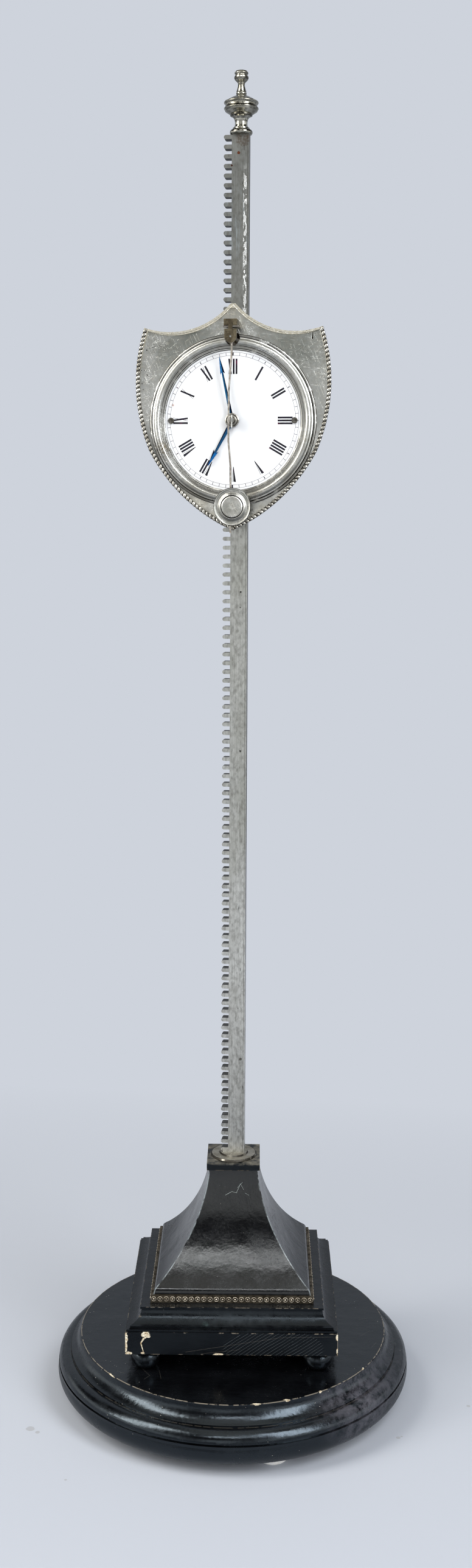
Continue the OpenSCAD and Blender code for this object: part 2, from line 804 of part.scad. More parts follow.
module pillars() {
    color("#a88545") on_head() for (p = pillar_places()) {
        difference() {
            union() {
                rod(p, back_front, front_back, pillar_r);
                rod(p, back_front - 1.2, back_front - 2.2, pillar_r + 0.5);
                rod(p, front_back + 2.2, front_back + 1.2, pillar_r + 0.5);
            }
            rod(p, 0, back_front - 3, screw_hole_r);
            rod(p, front_back + 3, front_back - 3, screw_hole_r);
        }
    }
}

plate_head_t = 1;

module pillar_screws() {
    color("#4d5563") on_head() for (p = pillar_places()) {
        back_screw(p, back_back + plate_head_t, 1.7, plate_head_t, screw_hole_r, plate_t + 2.5);
        head_screw(p, front_front - plate_head_t, 1.7, plate_head_t, screw_hole_r, plate_t + 2.5);
    }
}

// Bridge behind the rack, its posts, the guides and the rollers

module rear_bridge() {
    color("#b5924c") on_head() {
        difference() {
            upright(bridge_back, bridge_t) {
                translate([bridge_left, bridge_low + bridge_inset])
                    square([bridge_right - bridge_left, bridge_top - bridge_low - 2 * bridge_inset]);
                translate([bridge_left + bridge_inset, bridge_low])
                    square([bridge_right - bridge_left - 2 * bridge_inset, bridge_top - bridge_low]);
                for (p = bridge_posts) {
                    translate(p) circle(bridge_inset);
                }
            }
            rod(great_at, bridge_back + 1, bridge_front - 1, great_pivot_r + pivot_clear);
            for (p = bridge_posts) {
                rod(p, bridge_back + 1, bridge_front - 1, screw_hole_r);
            }
            for (p = [roller_up, roller_low]) {
                rod(p, bridge_back + 1, bridge_front - 1, roller_pin_r);
            }
        }
        for (p = bridge_posts) {
            difference() {
                rod(p, bridge_front, back_back, pillar_r);
                rod(p, bridge_front + 1, bridge_front - 2.5, screw_hole_r);
                rod(p, back_back + 2.5, back_back - 1, screw_hole_r);
            }
        }
    }
}

module bridge_screws() {
    color("#4d5563") on_head() for (p = bridge_posts) {
        back_screw(p, bridge_back + plate_head_t, 1.7, plate_head_t, screw_hole_r, bridge_t + 2);
        head_screw(p, back_front - 0.7, 1.4, 0.7, screw_hole_r - 0.1, plate_t + 2);
    }
}

guide_left = -bar_w / 2 - tooth_len - guide_gap;
guide_right = bar_w / 2 + guide_gap;
ear_w = 4;
ear_t = 1.2;

guide_screw_left = guide_left - guide_wall - ear_w / 2;
guide_screw_right = guide_right + guide_wall + ear_w / 2;

function guide_screw_places() = [for (x = [guide_screw_left, guide_screw_right], z = [-guide_up, guide_up]) [x, z]];

module rack_guides() {
    color("#b5924c") on_head() for (z = [-guide_up, guide_up]) {
        difference() {
            translate([0, 0, z - guide_h / 2]) {
                translate([guide_left - guide_wall, back_back, 0])
                    cube([guide_right - guide_left + 2 * guide_wall,
                        rack_d / 2 + guide_gap + guide_wall - back_back, guide_h]);
                translate([guide_left - guide_wall - ear_w, back_back, 0])
                    cube([guide_right - guide_left + 2 * guide_wall + 2 * ear_w, ear_t, guide_h]);
            }
            translate([guide_left, -rack_d / 2 - guide_gap, z - guide_h])
                cube([guide_right - guide_left, rack_d + 2 * guide_gap, 2 * guide_h]);
            for (p = guide_screw_places()) {
                rod(p, 0, back_back - 1, screw_hole_r);
            }
        }
    }
}

module guide_screws() {
    color("#4d5563") on_head() for (p = guide_screw_places()) {
        back_screw(p, back_back + ear_t + 0.7, 1.4, 0.7, screw_hole_r - 0.1, ear_t + plate_t - 0.2);
    }
}

roller_pin_r = 1;
roller_w = rack_d - 0.4;

module roller(p) {
    turned(p, roller_w / 2) polygon([[roller_pin_r + pivot_clear, 0], [roller_r - 0.3, 0], [roller_r, 0.3],
        [roller_r, roller_w - 0.3], [roller_r - 0.3, roller_w], [roller_pin_r + pivot_clear, roller_w]]);
}

module guide_roller_upper() {
    color("#9b9b95") on_head() roller(roller_up);
}

module guide_roller_lower() {
    color("#9b9b95") on_head() roller(roller_low);
}

module roller_pins() {
    color("#7f817f") on_head() for (p = [roller_up, roller_low]) {
        rod(p, bridge_back, back_back, roller_pin_r);
        rod(p, -roller_w / 2 - 0.2, back_back, roller_pin_r + 0.6);
    }
}

// Great arbor with the rack pinion and the ratchet wheel

leaf_out = 1.15;

module rack_pinion() {
    step = 360 / rack_leaves;
    polygon(toothed_outline(rack_leaves, rack_phase, whole_tooth([
        [pinion_r - mesh_in - 0.45, 0.17 * step], [pinion_r - 0.4, 0.17 * step], [pinion_r + 0.4, 0.13 * step],
        [pinion_r + 0.85, 0.085 * step], [pinion_r + leaf_out, 0.03 * step]])));
}

ratchet_r = 6;
ratchet_root = 5.2;
ratchet_turn = 110;

module ratchet_outline() {
    step = 360 / ratchet_teeth;
    polygon([for (i = [0:ratchet_teeth - 1]) each [polar(ratchet_r, ratchet_turn + i * step),
        polar(ratchet_root, ratchet_turn + i * step + 0.8)]]);
}

module great_arbor() {
    pinion_back = rack_d / 2 + 0.3;
    wheel_back = back_front - ratchet_layer;
    color("#8d8f8c") on_head() {
        rod(great_at, bridge_back, bridge_front - 0.2, great_pivot_r);
        at_arbor(great_at) upright(pinion_back, rack_d + 0.6) rack_pinion();
        rod(great_at, bridge_front - 0.2, wheel_back - 0.5, great_arbor_r);
        at_arbor(great_at) upright(wheel_back, ratchet_t) ratchet_outline();
        rod(great_at, wheel_back - 0.5, front_back + shake, great_arbor_r - 0.3);
        rod(great_at, front_back + 1, front_front, great_pivot_r);
    }
}

// Moves a flat upright shape to an arbor
module at_arbor(p) {
    translate([p[0], 0, p[1]]) children();
}

module great_wheel() {
    color("#b99447") on_head() at_arbor(great_at) {
        upright(back_front - great_layer, great_t) difference() {
            wheel_teeth(great_teeth, great_m, great_phase);
            circle(great_arbor_r + pivot_clear);
            for (a = [click_at, spring_foot_at]) {
                translate(polar(click_ring, a)) circle(click_screw_r);
            }
        }
        boss(click_at, back_front - great_layer - great_t - click_y - pivot_clear);
        boss(spring_foot_at, back_front - great_layer - great_t - click_y);
    }
}

// Low seat on the great wheel for the click or its spring
module boss(a, h) {
    upright(click_y + h, h) translate(polar(click_ring, a)) difference() {
        circle(click_hub_r, $fn = 48);
        circle(click_screw_r);
    }
}

click_ring = 8.4;
click_at = 150;
spring_foot_at = 196;
click_hub_r = 1.1;
click_screw_r = 0.6;
click_y = back_front - ratchet_layer - 0.1;
click_t = ratchet_t - 0.2;

module click() {
    color("#6d7078") on_head() at_arbor(great_at) upright(click_y, click_t) difference() {
        union() {
            translate(polar(click_ring, click_at)) circle(click_hub_r, $fn = 48);
            polygon([polar(ratchet_root + 0.25, ratchet_turn + 2.2), polar(ratchet_r + 1.1, ratchet_turn + 1.4),
                polar(ratchet_r + 2.4, ratchet_turn + 14), polar(click_ring + 0.9, click_at - 9),
                polar(click_ring + 0.95, click_at - 3), polar(click_ring - 0.9, click_at - 4),
                polar(ratchet_r + 0.9, ratchet_turn + 24), polar(ratchet_r + 0.3, ratchet_turn + 12)]);
        }
        translate(polar(click_ring, click_at)) circle(click_screw_r + pivot_clear, $fn = 48);
    }
}

module click_spring() {
    color("#2e4a86") on_head() at_arbor(great_at) upright(click_y, click_t) difference() {
        union() {
            intersection() {
                difference() {
                    circle(click_ring + 1.75);
                    circle(click_ring + 1.4);
                }
                polygon([[0, 0], polar(30, 132), polar(30, spring_foot_at - 5)]);
            }
            translate(polar(click_ring, spring_foot_at)) circle(1.3, $fn = 48);
            rotate(spring_foot_at - 7) translate([click_ring - 0.4, -0.2]) square([2.1, 1.4]);
        }
        translate(polar(click_ring, spring_foot_at)) circle(click_screw_r);
    }
}

module click_screws() {
    color("#4d5563") on_head() for (a = [click_at, spring_foot_at]) {
        p = great_at + polar(click_ring, a);
        head_screw(p, click_y - click_t - 0.6, 1, 0.5, click_screw_r,
            back_front - great_layer - click_y + click_t + 0.1);
    }
}

// Wheel train

// Arbor with a pivot at each end and a pinion between them
module pinion_arbor(p, r, pivot, n, m, turn, layer, len) {
    rod(p, back_back - 0.1, back_front - 0.5, pivot);
    rod(p, back_front - shake, front_back + shake, r);
    rod(p, front_back + 0.5, front_front + 0.1, pivot);
    at_arbor(p) upright(back_front - layer, len) leaf_teeth(n, m, turn);
}

module centre_arbor() {
    color("#8d8f8c") on_head() {
        rod(centre_at, back_back - 0.1, back_front - 0.5, great_pivot_r);
        rod(centre_at, back_front - shake, front_back + shake, centre_arbor_r);
        rod(centre_at, front_back + 0.5, front_front + 0.1, great_pivot_r);
        at_arbor(centre_at) upright(back_front - great_layer + 0.4, great_t + 0.8)
            leaf_teeth(centre_leaves, great_m, centre_phase);
        difference() {
            rod(centre_at, front_front + 0.6, arbor_tip, centre_tip_r);
            translate([0, pin_y, -3]) cylinder(h = 6, r = pin_r, $fn = 32);
        }
    }
}

module centre_wheel() {
    color("#b99447") on_head() at_arbor(centre_at) upright(back_front - centre_layer, wheel_t)
        crossed_wheel(train_teeth, centre_m, centre_wheel_phase, centre_arbor_r, 3, 1.3, 5, 1.2);
}

module third_arbor() {
    color("#8d8f8c") on_head()
        pinion_arbor(third_at, arbor_r, fine_pivot_r, train_leaves, centre_m, third_phase,
            centre_layer - 0.4, wheel_t + 0.8);
}

module third_wheel() {
    color("#b99447") on_head() at_arbor(third_at) upright(back_front - third_layer, wheel_t)
        crossed_wheel(train_teeth, third_m, third_wheel_phase, arbor_r, 2.4, 1.2, 4, 1.1);
}

module fourth_arbor() {
    color("#8d8f8c") on_head()
        pinion_arbor(fourth_at, arbor_r, fine_pivot_r, train_leaves, third_m, fourth_phase,
            third_layer - 0.4, wheel_t + 0.8);
}

module fourth_wheel() {
    color("#b99447") on_head() at_arbor(fourth_at) upright(back_front - fourth_layer, fine_t)
        crossed_wheel(train_teeth, fourth_m, fourth_wheel_phase, arbor_r, 2.2, 1.1, 4, 1);
}

module escape_arbor() {
    color("#8d8f8c") on_head()
        pinion_arbor(escape_at, 0.8, fine_pivot_r, train_leaves, fourth_m, escape_phase,
            fourth_layer - 0.4, fine_t + 0.8);
}

// Escape wheel: slender teeth with one steep flank, and pallets that just clear their tips at rest
escape_depth = 1.5;
escape_lean = 4.2;
tip_turn = 90 - pallet_half - 0.18 * 360 / escape_teeth;

module escape_wheel() {
    step = 360 / escape_teeth;
    root_r = escape_r - escape_depth;
    color("#c09a4a") on_head() at_arbor(escape_at) upright(back_front - escape_layer, fine_t) difference() {
        union() {
            difference() {
                polygon([for (i = [0:escape_teeth - 1]) each [polar(root_r, tip_turn + i * step - escape_lean),
                    polar(escape_r, tip_turn + i * step - 0.6), polar(escape_r, tip_turn + i * step),
                    polar(root_r, tip_turn + i * step + 0.8)]]);
                circle(root_r - 1);
            }
            circle(1.9);
            for (a = [0:90:270]) {
                rotate(a) translate([0, -0.4]) square([root_r - 0.5, 0.8]);
            }
        }
        circle(0.8);
    }
}

nib_half = 0.15;
nib_clear = 0.12;

module pallets() {
    color("#7f8288") on_head() upright(back_front - escape_layer + 0.1, fine_t + 0.2) difference() {
        union() {
            translate(pallet_at) circle(1.7);
            for (s = [-1, 1]) {
                translate(escape_at) rotate(-s * pallet_half) {
                    translate([-nib_half, escape_r + nib_clear]) square([2 * nib_half, 1.6]);
                    translate([s * nib_half - s * 0.5 - 0.5, escape_r + nib_clear + 1.2]) square([1, 1]);
                }
                polygon([pallet_at + [0, 1.2], pallet_at + [0, -1.2],
                    escape_at + polar(escape_r + nib_clear + 1.3, 90 - s * (pallet_half - 3)),
                    escape_at + polar(escape_r + nib_clear + 2.3, 90 - s * (pallet_half - 1))]);
            }
        }
        translate(pallet_at) circle(0.8);
    }
}

module pallet_arbor() {
    color("#8d8f8c") on_head() {
        rod(pallet_at, back_back - 0.1, back_front - 0.5, fine_pivot_r);
        rod(pallet_at, back_front - shake, leaf_back + shake, 0.8);
        rod(pallet_at, leaf_back + 0.5, leaf_front + 0.1, fine_pivot_r);
    }
}

// Motion work and hands

cannon_back = front_front - 0.25;
hour_back = front_front - 1.65;
hour_hand_y = dial_front - 0.5;
minute_hand_y = dial_front - 1.7;
hand_t = 0.4;
pin_y = dial_front - 3.3;
pin_r = 0.3;
arbor_tip = dial_front - 4.1;
collet_r = 3;

module cannon_pinion() {
    color("#8d8f8c") on_head() difference() {
        union() {
            at_arbor(centre_at) upright(cannon_back, 1.2) leaf_teeth(minute_leaves, work_m, cannon_phase);
            rod(centre_at, cannon_back - 0.5, minute_hand_y - hand_t, cannon_r);
        }
        rod(centre_at, cannon_back + 1, dial_front - 5, centre_tip_r + pivot_clear);
    }
}

minute_post_r = 0.8;

module minute_wheel() {
    color("#b99447") on_head() {
        at_arbor(post_at) upright(cannon_back - 0.25, 0.7) difference() {
            wheel_teeth(minute_teeth, work_m, minute_phase);
            circle(minute_post_r + pivot_clear);
        }
        at_arbor(post_at) upright(cannon_back - 0.95, 1.3) difference() {
            leaf_teeth(minute_leaves, hour_m, minute_leaf_phase);
            circle(minute_post_r + pivot_clear);
        }
    }
}

module minute_post() {
    color("#8d8f8c") on_head() {
        rod(post_at, front_front, cannon_back - 2.5, minute_post_r);
        rod(post_at, front_front, front_front - 0.35, 1.5);
    }
}

module hour_wheel() {
    color("#b99447") on_head() difference() {
        union() {
            at_arbor(centre_at) upright(hour_back, 0.7) wheel_teeth(hour_teeth, hour_m, hour_phase);
            rod(centre_at, hour_back - 0.3, hour_hand_y - hand_t - 0.1, hour_pipe_r);
        }
        rod(centre_at, hour_back + 1, dial_front - 5, cannon_r + pivot_clear);
    }
}

// Arrow-headed hand that points up, before it is turned to its hour
module hand_outline(len, root_w, neck_w, head_w, head_len) {
    polygon([[-root_w / 2, 0], [root_w / 2, 0], [neck_w / 2, len - head_len], [head_w / 2, len - head_len - 0.7],
        [0.1, len], [-0.1, len], [-head_w / 2, len - head_len - 0.7], [-neck_w / 2, len - head_len]]);
}

module hour_hand() {
    color("#2a4f8f") on_head() upright(hour_hand_y, hand_t) difference() {
        rotate(-hour_at) union() {
            circle(hour_pipe_r + 0.8);
            hand_outline(hour_len, 1.9, 0.9, 2.2, 6.5);
        }
        circle(hour_pipe_r);
    }
}

module minute_hand() {
    color("#2a4f8f") on_head() upright(minute_hand_y, hand_t) difference() {
        rotate(-minute_at) union() {
            circle(cannon_r + 0.9);
            hand_outline(minute_len, 1.7, 0.7, 2, 6.5);
        }
        circle(cannon_r);
    }
}

module hand_collet() {
    collet_back = minute_hand_y - hand_t - 0.05;
    color("#9c9a92") on_head() turned(centre_at, collet_back) polygon([[centre_tip_r, 0], [collet_r, 0],
        [collet_r, 0.15], [collet_r - 0.5, 0.45], [collet_r - 1, 0.3], [centre_tip_r + 0.6, 0.8],
        [centre_tip_r, 0.8]]);
}

module hand_pin() {
    color("#a5a298") on_head() translate([0, pin_y, -3.1]) cylinder(h = 5.3, r = pin_r, $fn = 32);
}

// Pendulum

hub_r = 1.5;
bow_low = -20;

// Middle line of the wire: bowed above, straight where the bob slides
wire_line = [[0.3 * wire_bow, pivot_up - 1.2], [0.3 * wire_bow, pivot_up - 6.5], [-0.9 * wire_bow, 12.5],
    [-wire_bow, -9], [0, bow_low], [0, pivot_up - bob_drop - wire_tail]];

// Straight stretch of wire between two points
module wire_piece(a, b) {
    translate([a[0], rod_y, a[1]]) rotate([0, atan2(b[0] - a[0], b[1] - a[1]), 0])
        cylinder(h = norm(b - a), r = wire_r, $fn = 32);
}

module pendulum_rod() {
    color("#8f8b86") on_head() {
        difference() {
            rod(pallet_at, rod_y + 0.9, rod_y - 0.9, hub_r);
            rod(pallet_at, rod_y + 2, rod_y - 2, 0.8);
        }
        for (i = [0:len(wire_line) - 2]) {
            wire_piece(wire_line[i], wire_line[i + 1]);
        }
        for (i = [1:len(wire_line) - 2]) {
            translate([wire_line[i][0], rod_y, wire_line[i][1]]) sphere(r = 1.06 * wire_r, $fn = 32);
        }
    }
}

bob_back = rod_y + 1;
bob_clear = 0.05;
disc_r = 4.7;

module pendulum_bob() {
    color("#a9a79e") on_head() difference() {
        turned([bob_offset, pivot_up - bob_drop], bob_back) polygon([[0, 0], [bob_r - 0.35, 0], [bob_r, 0.35],
            [bob_r, 1.9], [bob_r - 0.3, 2.15], [bob_r - 0.7, 2], [bob_r - 1, 1.75], [bob_r - 1.8, 1.7],
            [disc_r + 1, 2.2], [disc_r + 0.4, 2.55], [disc_r + 0.2, 2.55], [disc_r + 0.1, 2.2],
            [disc_r - 0.1, 2.2], [disc_r - 0.2, 2.6], [disc_r - 0.5, 2.75], [0, 2.75]]);
        translate([0, rod_y, pivot_up - bob_drop - 2 * bob_r])
            cylinder(h = 4 * bob_r, r = wire_r + bob_clear, $fn = 32);
    }
}

// Cock: a block on the shield, and a leaf that hangs from it and carries the pallet arbor's front pivot

cock_half = 2.85;
block_clear = 2.6;
block_h = 2.6;
knuckle_half = 0.87;
leaf_half = 2.6;
leaf_clear = 2;
// The block stays clear of the bezel and of the leaf's round end
block_low = max(bezel_r + block_clear, pivot_up + leaf_half + leaf_clear);
block_high = block_low + block_h;
leaf_top = block_low - 1.5;
taper_r = 0.45;
taper_z = block_low - taper_r - 0.02;
taper_y = leaf_back - leaf_t / 2;
cock_front = leaf_front + 0.1;
knuckle_top = block_low + 0.9;
cock_screw_at = [0, (block_low + block_high) / 2];
fit_gap = 0.05;

module taper_bore() {
    reach = 2 * cock_half;
    translate([-reach, taper_y, taper_z]) rotate([0, 90, 0]) cylinder(h = 2 * reach, r = taper_r, $fn = 32);
}

module pendulum_cock() {
    color("#5c4f3a") on_head() difference() {
        translate([-cock_half, cock_front, block_low])
            cube([2 * cock_half, shield_front - cock_front, block_high - block_low]);
        translate([-knuckle_half - fit_gap, cock_front - 1, block_low - 1])
            cube([2 * knuckle_half + 2 * fit_gap, leaf_back + fit_gap - cock_front + 1,
                knuckle_top + fit_gap - block_low + 1]);
        rod(cock_screw_at, shield_front + 1, shield_front - 3.2, screw_hole_r - 0.1);
    }
}

module cock_leaf() {
    color("#5c4f3a") on_head() difference() {
        union() {
            upright(leaf_back, leaf_t) {
                translate(pallet_at) circle(leaf_half);
                translate([-leaf_half, pivot_up]) square([2 * leaf_half, leaf_top - pivot_up]);
            }
            translate([-knuckle_half, leaf_front - 0.2, leaf_top - 1])
                cube([2 * knuckle_half, leaf_t + 0.2, knuckle_top - leaf_top + 1]);
        }
        rod(pallet_at, leaf_back + 1, leaf_front - 1, fine_pivot_r + pivot_clear);
        taper_bore();
    }
}

module taper_pin() {
    color("#7a7468") on_head() translate([-3.1, taper_y, taper_z])
        rotate([0, 90, 0]) cylinder(h = 6.9, r = taper_r, $fn = 32);
}

module cock_screw() {
    color("#4d5563") on_head() back_screw(cock_screw_at, shield_back + 0.8, 1.4, 0.8, screw_hole_r - 0.1, shield_t + 3);
}

round_base();
base_pads();
ball_feet();
foot_screws();
plinth_slab();
plinth_moulding();
beaded_strip();
pyramid();
cap_block();
collar();
rack();
finial();
shield();
edge_rim();
bezel();
dial();
dial_screws();
shield_screws();
dial_posts();
front_plate();
back_plate();
pillars();
pillar_screws();
rear_bridge();
bridge_screws();
rack_guides();
guide_screws();
guide_roller_upper();
guide_roller_lower();
roller_pins();
great_arbor();
great_wheel();
click();
click_spring();
click_screws();
centre_arbor();
centre_wheel();
third_arbor();
third_wheel();
fourth_arbor();
fourth_wheel();
escape_arbor();
escape_wheel();
pallet_arbor();
pallets();
cannon_pinion();
minute_wheel();
minute_post();
hour_wheel();
hour_hand();
minute_hand();
hand_collet();
hand_pin();
pendulum_rod();
pendulum_bob();
pendulum_cock();
cock_leaf();
taper_pin();
cock_screw();
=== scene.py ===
# Rack clock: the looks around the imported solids, in metres, in the same frame
import math
import bpy
from mathutils import Matrix, Vector


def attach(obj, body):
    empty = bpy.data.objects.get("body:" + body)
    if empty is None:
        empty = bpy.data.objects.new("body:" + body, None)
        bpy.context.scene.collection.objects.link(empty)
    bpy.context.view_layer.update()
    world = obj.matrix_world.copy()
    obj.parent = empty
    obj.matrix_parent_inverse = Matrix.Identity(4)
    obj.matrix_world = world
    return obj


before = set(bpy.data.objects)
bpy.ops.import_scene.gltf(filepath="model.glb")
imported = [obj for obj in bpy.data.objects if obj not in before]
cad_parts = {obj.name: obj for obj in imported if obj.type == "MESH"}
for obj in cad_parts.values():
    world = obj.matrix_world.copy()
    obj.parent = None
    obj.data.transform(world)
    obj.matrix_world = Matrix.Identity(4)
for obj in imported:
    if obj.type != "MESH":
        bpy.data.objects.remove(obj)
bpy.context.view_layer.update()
mm = 0.001
rackAxis = 1.4 * mm
headHeight = 458.0 * mm
headCentre = (rackAxis, 0, headHeight)
pedestalTurn = math.radians(6.5)
dialFront = -25.2 * mm
shieldFront = -24.0 * mm

# millimetres, as all patterns below: the rack's front, the slab's front and the base's flat top
rackFront = -2.2
slabFront = -48.5
baseTop = 29.7

# the shield's right edge in millimetres about the middle of the dial, its arcs as (x, z, radius)
shieldEdge = {
    "side": (-31.4, 15.9, 73.6), "flank": (-30.5, 22.7, 75.7), "crest": (27.0, 72.0, 35.75), "rimWidth": 1.8,
    "tip": 37.9, "foot": -50.0, "step": 0.35, "inset": 0.72, "lobesForward": 1.0,
    "pitch": 1.8, "length": 1.15, "width": 0.7, "height": 0.5, "lean": 45.0}


def linearColour(hexCode):
    # sRGB hex to linear
    out = []
    for i in (1, 3, 5):
        c = int(hexCode[i:i + 2], 16) / 255
        out.append(c / 12.92 if c <= 0.04045 else ((c + 0.055) / 1.055) ** 2.4)
    return (*out, 1.0)


def addNode(tree, kind, settings=None):
    # lower-case keys are the node's own settings, other keys its inputs; a node or (node, output) is linked
    made = tree.nodes.new(kind)
    for key, value in (settings or {}).items():
        if isinstance(key, str) and key[0].islower():
            setattr(made, key, value)
            continue
        if isinstance(value, bpy.types.Node):
            value = (value, 0)
        if isinstance(value, tuple) and isinstance(value[0], bpy.types.Node):
            tree.links.new(value[0].outputs[value[1]], made.inputs[key])
        else:
            made.inputs[key].default_value = value
    return made


# patterns that several finishes share

def millimetres(tree, centre=(0, 0, 0), turn=0.0):
    # object coordinates in millimetres about a centre, turned about the upright
    place = addNode(tree, "ShaderNodeTexCoord")
    return addNode(tree, "ShaderNodeMapping", {
        "vector_type": "TEXTURE", "Vector": (place, "Object"),
        "Location": centre, "Rotation": (0, 0, turn), "Scale": (mm, mm, mm)})


def along(tree, coords, axis):
    return (addNode(tree, "ShaderNodeSeparateXYZ", {0: coords}), axis)


def fold(tree, operation, *values):
    # one operation over a row of masks and numbers: MULTIPLY is where all hold, MAXIMUM where any does
    total = values[0]
    for value in values[1:]:
        total = addNode(tree, "ShaderNodeMath", {"operation": operation, 0: total, 1: value})
    return total


def plus(tree, total, *shares):
    # a number or mask plus a share of others, each given as (mask, share)
    for mask, share in shares:
        total = addNode(tree, "ShaderNodeMath", {"operation": "MULTIPLY_ADD", 0: mask, 1: share, 2: total})
    return total


def tint(tree, colour, tone, *masks):
    # lays a tone over a colour where all the masks hold
    colour, tone = (linearColour(c) if isinstance(c, str) else c for c in (colour, tone))
    return (addNode(tree, "ShaderNodeMix", {
        "data_type": "RGBA", 0: fold(tree, "MULTIPLY", *masks), 6: colour, 7: tone}), 2)


def ramp(tree, value, start, end, low=0.0, high=1.0):
    # a straight run from low to high, held at both ends
    return addNode(tree, "ShaderNodeMapRange", {
        "Value": value, "From Min": start, "From Max": end, "To Min": low, "To Max": high})


def band(tree, value, middle, half, soft):
    # 1 where value is within half of middle, fading out over soft
    away = fold(tree, "SUBTRACT", value, middle)
    return ramp(tree, addNode(tree, "ShaderNodeMath", {"operation": "ABSOLUTE", 0: away}), half + soft, half)


def frontward(tree, start, end):
    # by how much the surface faces the front
    return ramp(tree, along(tree, (addNode(tree, "ShaderNodeNewGeometry"), "Normal"), "Y"), start, end)


def radiusFrom(tree, coords, axis):
    # distance from the axis, in millimetres
    flat = addNode(tree, "ShaderNodeVectorMath", {
        "operation": "MULTIPLY", 0: coords, 1: {"Y": (1, 0, 1), "Z": (1, 1, 0)}[axis]})
    return (addNode(tree, "ShaderNodeVectorMath", {"operation": "LENGTH", 0: flat}), "Value")


def cloud(tree, coords, size, detail=4.0, low=0.35, high=0.65, stretch=(1, 1, 1), turn=(0, 0, 0), rough=0.55):
    # soft patches about `size` millimetres across, from 0 to 1
    spread = addNode(tree, "ShaderNodeMapping", {
        "Vector": coords, "Rotation": turn, "Scale": tuple(s / size for s in stretch)})
    grain = addNode(tree, "ShaderNodeTexNoise", {
        "Vector": spread, "Scale": 1.0, "Detail": detail, "Roughness": rough})
    return ramp(tree, (grain, "Fac"), low, high)


def scratches(tree, coords, angle, length, gap, keep):
    # fine straight lines in the plane of X and Z, `length` long and about `gap` apart
    turned = addNode(tree, "ShaderNodeMapping", {"Vector": coords, "Rotation": (0, math.radians(angle), 0)})
    drawn = addNode(tree, "ShaderNodeMapping", {"Vector": turned, "Scale": (1 / gap, 0.2, 1 / length)})
    grain = addNode(tree, "ShaderNodeTexNoise", {"Vector": drawn, "Scale": 1.0, "Detail": 2.0})
    return ramp(tree, (grain, "Fac"), keep, keep + 0.04)


def specks(tree, coords, spacing, radius, soft=0.3):
    # small round pits, one in each cell
    cell = addNode(tree, "ShaderNodeTexVoronoi", {"Vector": coords, "Scale": 1 / spacing, "Randomness": 1.0})
    return ramp(tree, (cell, "Distance"), radius / spacing, radius / spacing * (1 - soft))


def spot(tree, coords, place, radius, ragged, stretch=(1, 1, 1), soft=0.18):
    # one patch about a place given in millimetres, its edge broken up by noise
    away = addNode(tree, "ShaderNodeVectorMath", {"operation": "SUBTRACT", 0: coords, 1: place})
    shaped = addNode(tree, "ShaderNodeVectorMath", {"operation": "MULTIPLY", 0: away, 1: stretch})
    edge = addNode(tree, "ShaderNodeVectorMath", {"operation": "LENGTH", 0: shaped})
    grain = addNode(tree, "ShaderNodeTexNoise", {"Vector": coords, "Scale": 1.3 / radius, "Detail": 4.0})
    broken = plus(tree, (edge, "Value"), ((grain, "Fac"), ragged))
    return ramp(tree, broken, radius + ragged / 2, radius * (1 - soft) + ragged / 2)


def stroke(tree, coords, start, end, width, endWidth=None):
    # a mark drawn from one place to another, in millimetres, growing from width to endWidth
    line = Vector(end) - Vector(start)
    reach = addNode(tree, "ShaderNodeVectorMath", {"operation": "SUBTRACT", 0: coords, 1: start})
    share = addNode(tree, "ShaderNodeVectorMath", {
        "operation": "DOT_PRODUCT", 0: reach, 1: tuple(line / line.length_squared)})
    share = addNode(tree, "ShaderNodeMath", {
        "operation": "ADD", "use_clamp": True, 0: (share, "Value"), 1: 0.0})
    foot = addNode(tree, "ShaderNodeVectorMath", {"operation": "SCALE", 0: tuple(line), 3: share})
    away = (addNode(tree, "ShaderNodeVectorMath", {"operation": "DISTANCE", 0: reach, 1: foot}), "Value")
    half = ramp(tree, share, 0.0, 1.0, width, width if endWidth is None else endWidth)
    return ramp(tree, fold(tree, "SUBTRACT", away, half), 0.0, -min(width, 0.12))


def marksOn(tree, coords, items, plane="XZ", level=None):
    # spots (place, radius) and strokes (start, end, width, end width) in a plane, at one level or all through
    first, second = ("XYZ".index(axis) for axis in plane)
    if level is None:
        flat = tuple(float(i in (first, second)) for i in range(3))
        coords = addNode(tree, "ShaderNodeVectorMath", {"operation": "MULTIPLY", 0: coords, 1: flat})

    def placed(a, b):
        out = [level or 0.0] * 3
        out[first], out[second] = a, b
        return tuple(out)

    made = []
    for item in items:
        if len(item) == 3:
            made.append(spot(tree, coords, placed(*item[:2]), item[2], item[2] * 0.5))
        else:
            made.append(stroke(tree, coords, placed(*item[:2]), placed(*item[2:4]), *item[4:]))
    return fold(tree, "MAXIMUM", *made)


def bumpFrom(tree, heights, depth):
    # heights is a list of (mask, strength); the surface moves by depth in metres
    return addNode(tree, "ShaderNodeBump", {
        "Strength": 1.0, "Distance": depth, "Height": plus(tree, 0.0, *heights)})


def newFinish(name):
    made = bpy.data.materials.new(name)
    made.use_nodes = True
    made.node_tree.nodes.clear()
    return made, made.node_tree


def surface(made, look):
    # look holds the inputs of the main shader
    shader = addNode(made.node_tree, "ShaderNodeBsdfPrincipled", look)
    addNode(made.node_tree, "ShaderNodeOutputMaterial", {"Surface": shader})
    return made


# finishes

